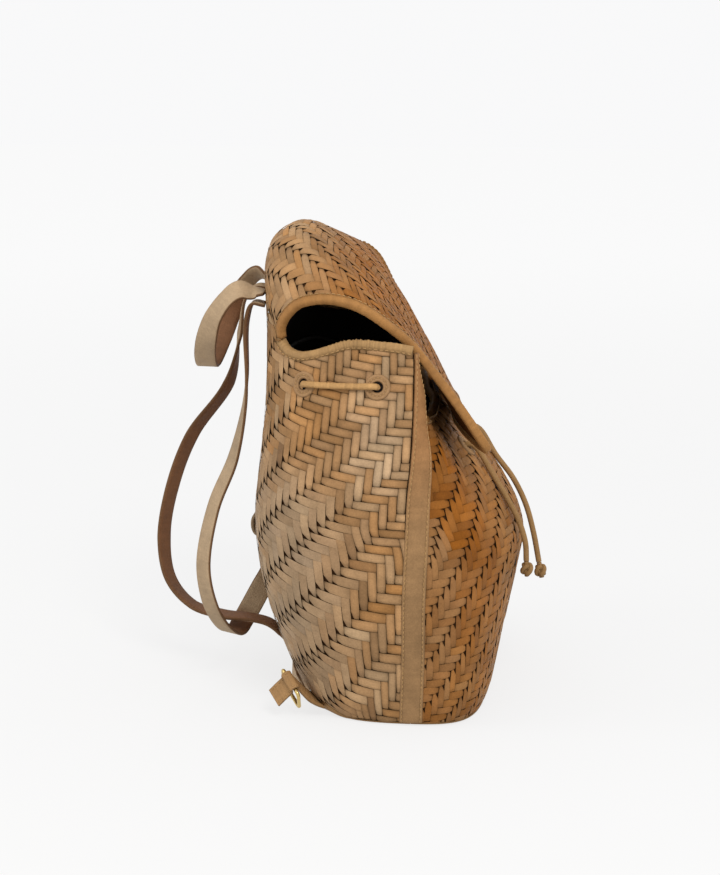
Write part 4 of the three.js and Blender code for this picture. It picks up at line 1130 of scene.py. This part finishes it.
def seam_band(word):
    """The stitched strip on a side seam; above its full width it narrows to a strip under the mouth."""
    side = SIDES[word]
    z = np.linspace(BAND_BOTTOM, BAND_TOP[word] + BAND_TIP[word], 130)
    turn = np.radians(turn_at(z))
    flat = np.zeros_like(z)
    at = rows_of(side * half_width_at(z), rear_at(z), z)
    right = rows_of(-side * np.sin(turn), -np.cos(turn), flat)
    up = rows_of(side * np.cos(turn), -np.sin(turn), flat)
    slim = 1 - 0.66 * smooth((z - BAND_TOP[word] + 10) / (BAND_TIP[word] + 6))
    profile = BAND_PROFILE * rows_of(slim, np.ones_like(slim))[:, None]
    tone = 1 + 0.05 * np.sin(z / 17) + 0.03 * chance.standard_normal(len(z))
    tint = blend(BAND_TAN, BAND_GOLD, smooth((z - 140) / 110)) * tone[:, None]
    builder = Builder()
    builder.sweep(at, right, up, profile, tint[:, None] * BAND_SHADE[:, None])
    run = unit(np.gradient(at, axis=0))
    for offset in (BAND_STITCH["in"], BAND_WIDTH - BAND_STITCH["in"]):
        line = at + right * (offset * slim)[:, None] + up * BAND_STITCH["out"]
        builder.stitch(line, run, up, spaced(line, BAND_STITCH["gap"]), BAND_STITCH["length"])
    builder.build("side_band_" + word, "smooth_leather", "seam_band_" + word)


# The base's rings: their scale from its middle, and height
BASE_RINGS = ((0.965, 2.4), (1.0, 1.2), (1.0, 0.15), (0.94, 0.1), (0.6, 0.1), (0.02, 0.1))


def base():
    """The flat bottom, out to the walls' lower edge."""
    share = np.linspace(0, 2, 81)
    outline = np.concatenate((wrap_point(share, 0.0), front_point(share, 0.0)[::-1]))
    centre = np.array((0.0, outline[:, 1].mean(), 0.0))
    rings = [centre + (outline - centre) * scale + np.array((0, 0, height)) for scale, height in BASE_RINGS]
    builder = Builder()
    builder.add(np.array(rings), BAND_TAN * 0.8, closed=True)
    builder.build("bottom", "smooth_leather", "base_panel")


# Eyelets and the lace that they hold

EYELET_PROFILE = np.array((
    (4.0, -0.6), (4.1, 1.5), (4.7, 2.4), (5.6, 2.6), (6.5, 2.2), (7.2, 2.2), (8.0, 2.6), (9.3, 2.4),
    (9.9, 1.6), (10.0, 0.0),
))
EYELET_SHADE = np.array((0.25, 0.55, 0.95, 1.0, 0.88, 0.88, 1.0, 1.0, 0.85, 0.35))
EYELET_HOLE = ((4.4, 1.1), (2.0, 1.1), (0.1, 1.1))
EYELET_SIDES = 48


def eyelet(label, surface, a, b):
    at, _, _, normal = surface.face(a, b)
    per_a = np.linalg.norm(surface.point(a + surface.step_a, b) - at) / surface.step_a
    per_b = np.linalg.norm(surface.point(a, b + surface.step_b) - at) / surface.step_b
    turn = full_turn(EYELET_SIDES)

    def ring_at(radius, height):
        across = radius * np.cos(turn) / per_a
        climb = radius * np.sin(turn) / per_b
        return surface.point(a + across, b + climb) + normal * height

    builder = Builder()
    builder.add([ring_at(*row) for row in EYELET_PROFILE], TAN * EYELET_SHADE[:, None, None], closed=True)
    builder.add([ring_at(*row) for row in EYELET_HOLE], HOLE, 1, closed=True)
    line = ring_at(6.9, 2.3)
    run = np.roll(line, -1, axis=0) - np.roll(line, 1, axis=0)
    out = np.broadcast_to(normal, line.shape)
    builder.stitch(line, run, out, np.arange(0, EYELET_SIDES, 3), 1.8, 0.38)
    builder.build("ring_" + label, "smooth_leather", "eyelet_" + label, LINING)


def eyelets(word):
    for (along, z), place in zip(SIDE_EYELETS[word], ("front", "back")):
        eyelet(word + "_" + place, wrap, side_share(word, along), z)
    eyelet("front_" + word, front, front_share(word, FRONT_EYELET_ACROSS), FRONT_EYELET_COURSE)


def drawstring(word):
    """The lace: in at the front, out and in again at the side, and on inside to the back's middle."""
    side = SIDES[word]
    (start, start_z), (end, end_z) = SIDE_EYELETS[word]
    inside = -8
    outside = 4.9

    def over(along, lift, slide=0.0):
        z = start_z + (end_z - start_z) * (along - start) / (end - start)
        return wrap.raised(side_share(word, along), z, lift) + np.array((0.0, slide, 0.0))

    def in_front(across, lift):
        return front.raised(front_share(word, across), FRONT_EYELET_COURSE, lift)

    def in_back(along):
        return wrap.raised(side_share(word, along), 270.0, inside)

    route = Route([
        in_front(FRONT_EYELET_ACROSS, 0.4), in_front(FRONT_EYELET_ACROSS, -5), in_front(52, inside),
        in_front(78, inside), (side * 101, 0, 234), over(start, -10, -4), over(start, -4), over(start, 1),
        over(start + 0.008, 4.4), over(start + 0.035, outside), over(start + 0.07, 3.8),
        over((start + end) / 2, 3.4), over(end - 0.07, 3.8), over(end - 0.035, outside),
        over(end - 0.008, 4.4), over(end, 1), over(end, -4), over(end, -10, 4),
        in_back(0.55), in_back(0.75), in_back(0.9),
    ])
    count = 240
    place = route.place(np.linspace(0, 1, count))
    # Painted shade: the lace is darkened almost to black before and after its run along the side, where it
    # passes inside the bag
    lit_outside = 0.012 + 0.988 * smooth(place - 6) * smooth(16 - place)
    tint = LACE_TAN * (lit_outside * (1 + 0.06 * chance.standard_normal(count)))[:, None, None]
    section = ellipse(LACE * 1.05, LACE * 0.92, 12, 2.4)
    frames = tube_frames(route, count)
    swept_piece("lace_" + word, "lace_leather", "drawstring_" + word, frames, section, tint)


# Straps, tabs and rings

# A strap section's points: its upper face, its right edge, its lower face and its left edge
UPPER, EDGE, LOWER = range(3)
SECTION_PARTS = np.array([UPPER] * 5 + [EDGE] * 3 + [LOWER] * 5 + [EDGE] * 3)


def strap_section(width, thick):
    """A flat section with round edges, rubbed by wear."""
    half = width / 2
    low = thick / 2
    hollow = low * 0.97
    top = [(-half + 0.8, low), (-half * 0.5, hollow), (0, hollow), (half * 0.5, hollow), (half - 0.8, low)]
    right = [(half - 0.2, low * 0.6), (half, 0), (half - 0.2, -low * 0.6)]
    return np.array(top + right + [(-x, -y) for x, y in top + right])


def strap(name, rows, count, node_name, pale_after=1.0):
    """A strap with a pale outer face and a dark inner one; past the given share both faces are pale."""
    at, wide, up, _ = strap_frames(rows, count)
    tints = np.array((STRAP_DARK, STRAP_EDGE, STRAP_PALE))[SECTION_PARTS]
    both_pale = np.array((STRAP_PALE, STRAP_EDGE, STRAP_PALE))[SECTION_PARTS]
    share = smooth((np.linspace(0, 1, count) - pale_after) / 0.03)[:, None]
    tone = 1 + 0.05 * np.sin(np.linspace(0, 19, count)) + 0.025 * chance.standard_normal(count)
    tint = blend(tints, both_pale, share) * tone[:, None, None]
    section = strap_section(STRAP_WIDTH, STRAP_LEATHER)
    swept_piece(name, "strap_leather", node_name, (at, wide, up), section, tint)


def on_back(rows):
    (x, _, z), wide = rows[0]
    y = wrap_point(share_at_x(x, z), z)[1] + STRAP_LEATHER / 2 + GAP
    return [((x, y, z), wide), *rows[1:]]


def strap_foot(direction):
    """A strap's last row, flat on the back's lower corner; its width lies along the wall or up it."""
    x, z = STRAP_FOOT
    at, right, up, normal = wrap.face(share_at_x(x, z), float(z))
    at = at + normal * (STRAP_LEATHER / 2 + 2 * GAP)
    return [(tuple(at), tuple(-right if direction == "along" else -up))]


def straps():
    half = on_back(HANDLE_ROUTE)
    strap("carry_handle", half + mirror(half[:-1])[::-1], 160, "handle", 0.8)
    near = on_back(STRAP_NEAR_ROUTE) + mirror(strap_foot("along"))
    strap("strap_left", near, 320, "shoulder_strap_left", 0.68)
    strap("strap_right", on_back(STRAP_FAR_ROUTE) + strap_foot("up"), 320, "shoulder_strap_right")


def flipped(word, *arrays):
    """The arrays as they are for the left side, and mirrored for the right one."""
    turn = np.array((-SIDES[word], 1.0, 1.0))
    return [array * turn for array in arrays]


def tab_rows():
    """The tab's route: from the wall, over the ring's bar and down to its loose tail."""
    bar = RING_CENTRE - RING_DROP * RING_HEIGHT / 2
    inward = np.cross(RING_BAR, RING_DROP)
    radius = WIRE / 2 + 3 * GAP + TAB_LEATHER / 2
    x, z = TAB_ROOT
    root, _, _, normal = wrap.face(share_at_x(x, z), float(z))
    root = root + normal * (TAB_LEATHER / 2 + 3 * GAP)
    flat = RING_BAR - normal * np.dot(RING_BAR, normal)
    angles = np.radians((-20, 40, 100, 160, 215))
    over = [bar + (inward * math.cos(angle) - RING_DROP * math.sin(angle)) * radius for angle in angles]
    leave = unit(inward * -0.9 + RING_DROP * 0.75)
    tail = [over[-1] + leave * TAB_TAIL * share for share in (0.5, 1)]
    rise = root + (over[0] - root) * 0.45 + normal * 1.5
    return [(root, flat), (rise, RING_BAR), *((point, RING_BAR) for point in (*over, *tail))]


def strap_tab(word):
    at, wide, up, tangent = flipped(word, *strap_frames(tab_rows(), 90))
    shade = np.where(SECTION_PARTS == EDGE, 0.6, 1.0)
    tone = 1 + 0.04 * chance.standard_normal(len(at))
    builder = Builder()
    builder.sweep(at, wide, up, strap_section(TAB_WIDTH, TAB_LEATHER),
                  FOOT_TAN * 1.2 * tone[:, None, None] * shade[:, None])
    places = np.linspace(len(at) * 0.62, len(at) - 6, 6)
    for offset in (-0.36, 0.36):
        for face in (-1, 1):
            line = at + wide * TAB_WIDTH * offset + up * face * (TAB_LEATHER / 2 + 0.1)
            builder.stitch(line, tangent, up * face, places, 2.2)
    builder.build("tab_" + word, "smooth_leather", "strap_tab_" + word)


def strap_ring(word):
    """A wire bent to a rectangle with round corners."""
    reach = np.array((RING_WIDTH + WIRE, RING_HEIGHT)) / 2 - RING_CORNER
    per_corner = 9
    quarter = np.linspace(0, math.pi / 2, per_corner)
    turn = np.concatenate([quarter + k * math.pi / 2 for k in range(4)])
    corners = np.repeat(((1, 1), (-1, 1), (-1, -1), (1, -1)), per_corner, axis=0) * reach
    axes = np.stack((RING_BAR, RING_DROP))
    outs = rows_of(np.cos(turn), np.sin(turn)) @ axes
    places = RING_CENTRE + corners @ axes + outs * RING_CORNER
    normals = np.broadcast_to(np.cross(RING_BAR, RING_DROP), places.shape)
    frames = flipped(word, places, outs, normals)
    swept_piece("buckle_ring_" + word, "ring_brass", "strap_ring_" + word, frames, ellipse(WIRE, WIRE, 14),
                BRASS_TINT, loop=True)


def back_tab():
    """The small folded strip on the back: it leaves the wall, turns over and comes back to it."""
    x, z = BACK_TAB["x"], BACK_TAB["z"]
    wall_y = wrap_point(share_at_x(x, z), float(z))[1] + GAP
    turn = np.linspace(0, math.pi, 40)
    flat = np.zeros_like(turn)
    out = (BACK_TAB["depth"] - STRAP_LEATHER) * np.sin(turn).clip(0) ** 0.7
    at = rows_of(flat + x, wall_y + out, z + BACK_TAB["height"] / 2 * np.cos(turn))
    right = np.broadcast_to((1.0, 0.0, 0.0), at.shape)
    up = rows_of(flat, np.sin(turn), np.cos(turn))
    section = strap_section(BACK_TAB["width"], STRAP_LEATHER)
    swept_piece("folded_tab", "strap_leather", "back_tab", (at, right, up), section, STRAP_PALE * 0.8)


# Floor and light

FLOOR_REACH = 6.0
FLOOR_DROP = 0.0002
LIGHT_TARGET = (0, 0, 0.2)


def floor_paint():
    """Pale paint that glows a little more far from the bag, where less light falls, so no horizon shows."""
    constants = {"Base Color": (0.14, 0.14, 0.14, 1), "Roughness": 0.9, "Specular IOR Level": 0.0,
                 "Emission Color": (1, 1, 1, 1)}
    material, tree, shader, place = new_material("floor", constants)
    far = node(tree, "ShaderNodeVectorMath", operation="LENGTH")
    tree.links.new(place, far.inputs[0])
    glow = remapped(tree, far.outputs["Value"], (0.2, 3.0), (0.75, 0.814), interpolation_type="SMOOTHSTEP")
    tree.links.new(glow, shader.inputs["Emission Strength"])
    return material


def floor():
    mesh = bpy.data.meshes.new("floor")
    span = (-FLOOR_REACH, 0, FLOOR_REACH)
    corners = [(x, y, -FLOOR_DROP) for y in span for x in span]
    mesh.from_pydata(corners, [], [(k, k + 1, k + 4, k + 3) for k in (0, 1, 3, 4)])
    mesh.materials.append(floor_paint())
    plane = bpy.data.objects.new("floor", mesh)
    bpy.context.scene.collection.objects.link(plane)


def area_light(name, place, size, power, tint=(1, 1, 1)):
    data = bpy.data.lights.new(name, "AREA")
    data.size = size
    data.energy = power
    data.color = tint
    place_facing(name, data, place, LIGHT_TARGET)


def lights():
    world = bpy.data.worlds.new("studio")
    bpy.context.scene.world = world
    world.use_nodes = True
    sky = world.node_tree.nodes["Background"]
    sky.inputs["Color"].default_value = (0.945, 0.945, 0.95, 1)
    sky.inputs["Strength"].default_value = 1.0
    area_light("key", (-1.6, -0.7, 1.9), 0.9, 34, (1, 0.97, 0.93))
    area_light("rim", (-0.6, 1.7, 1.2), 0.8, 9)
    bpy.context.scene.view_settings.view_transform = "Standard"


add_camera()
for word in SIDES:
    free_cord(word)
back_and_sides()
front_panel()
flap_sheet_piece()
flap_binding()
front_binding()
base()
straps()
back_tab()
for word in SIDES:
    mouth_binding(word)
    seam_band(word)
    eyelets(word)
    drawstring(word)
    strap_tab(word)
    strap_ring(word)
floor()
lights()
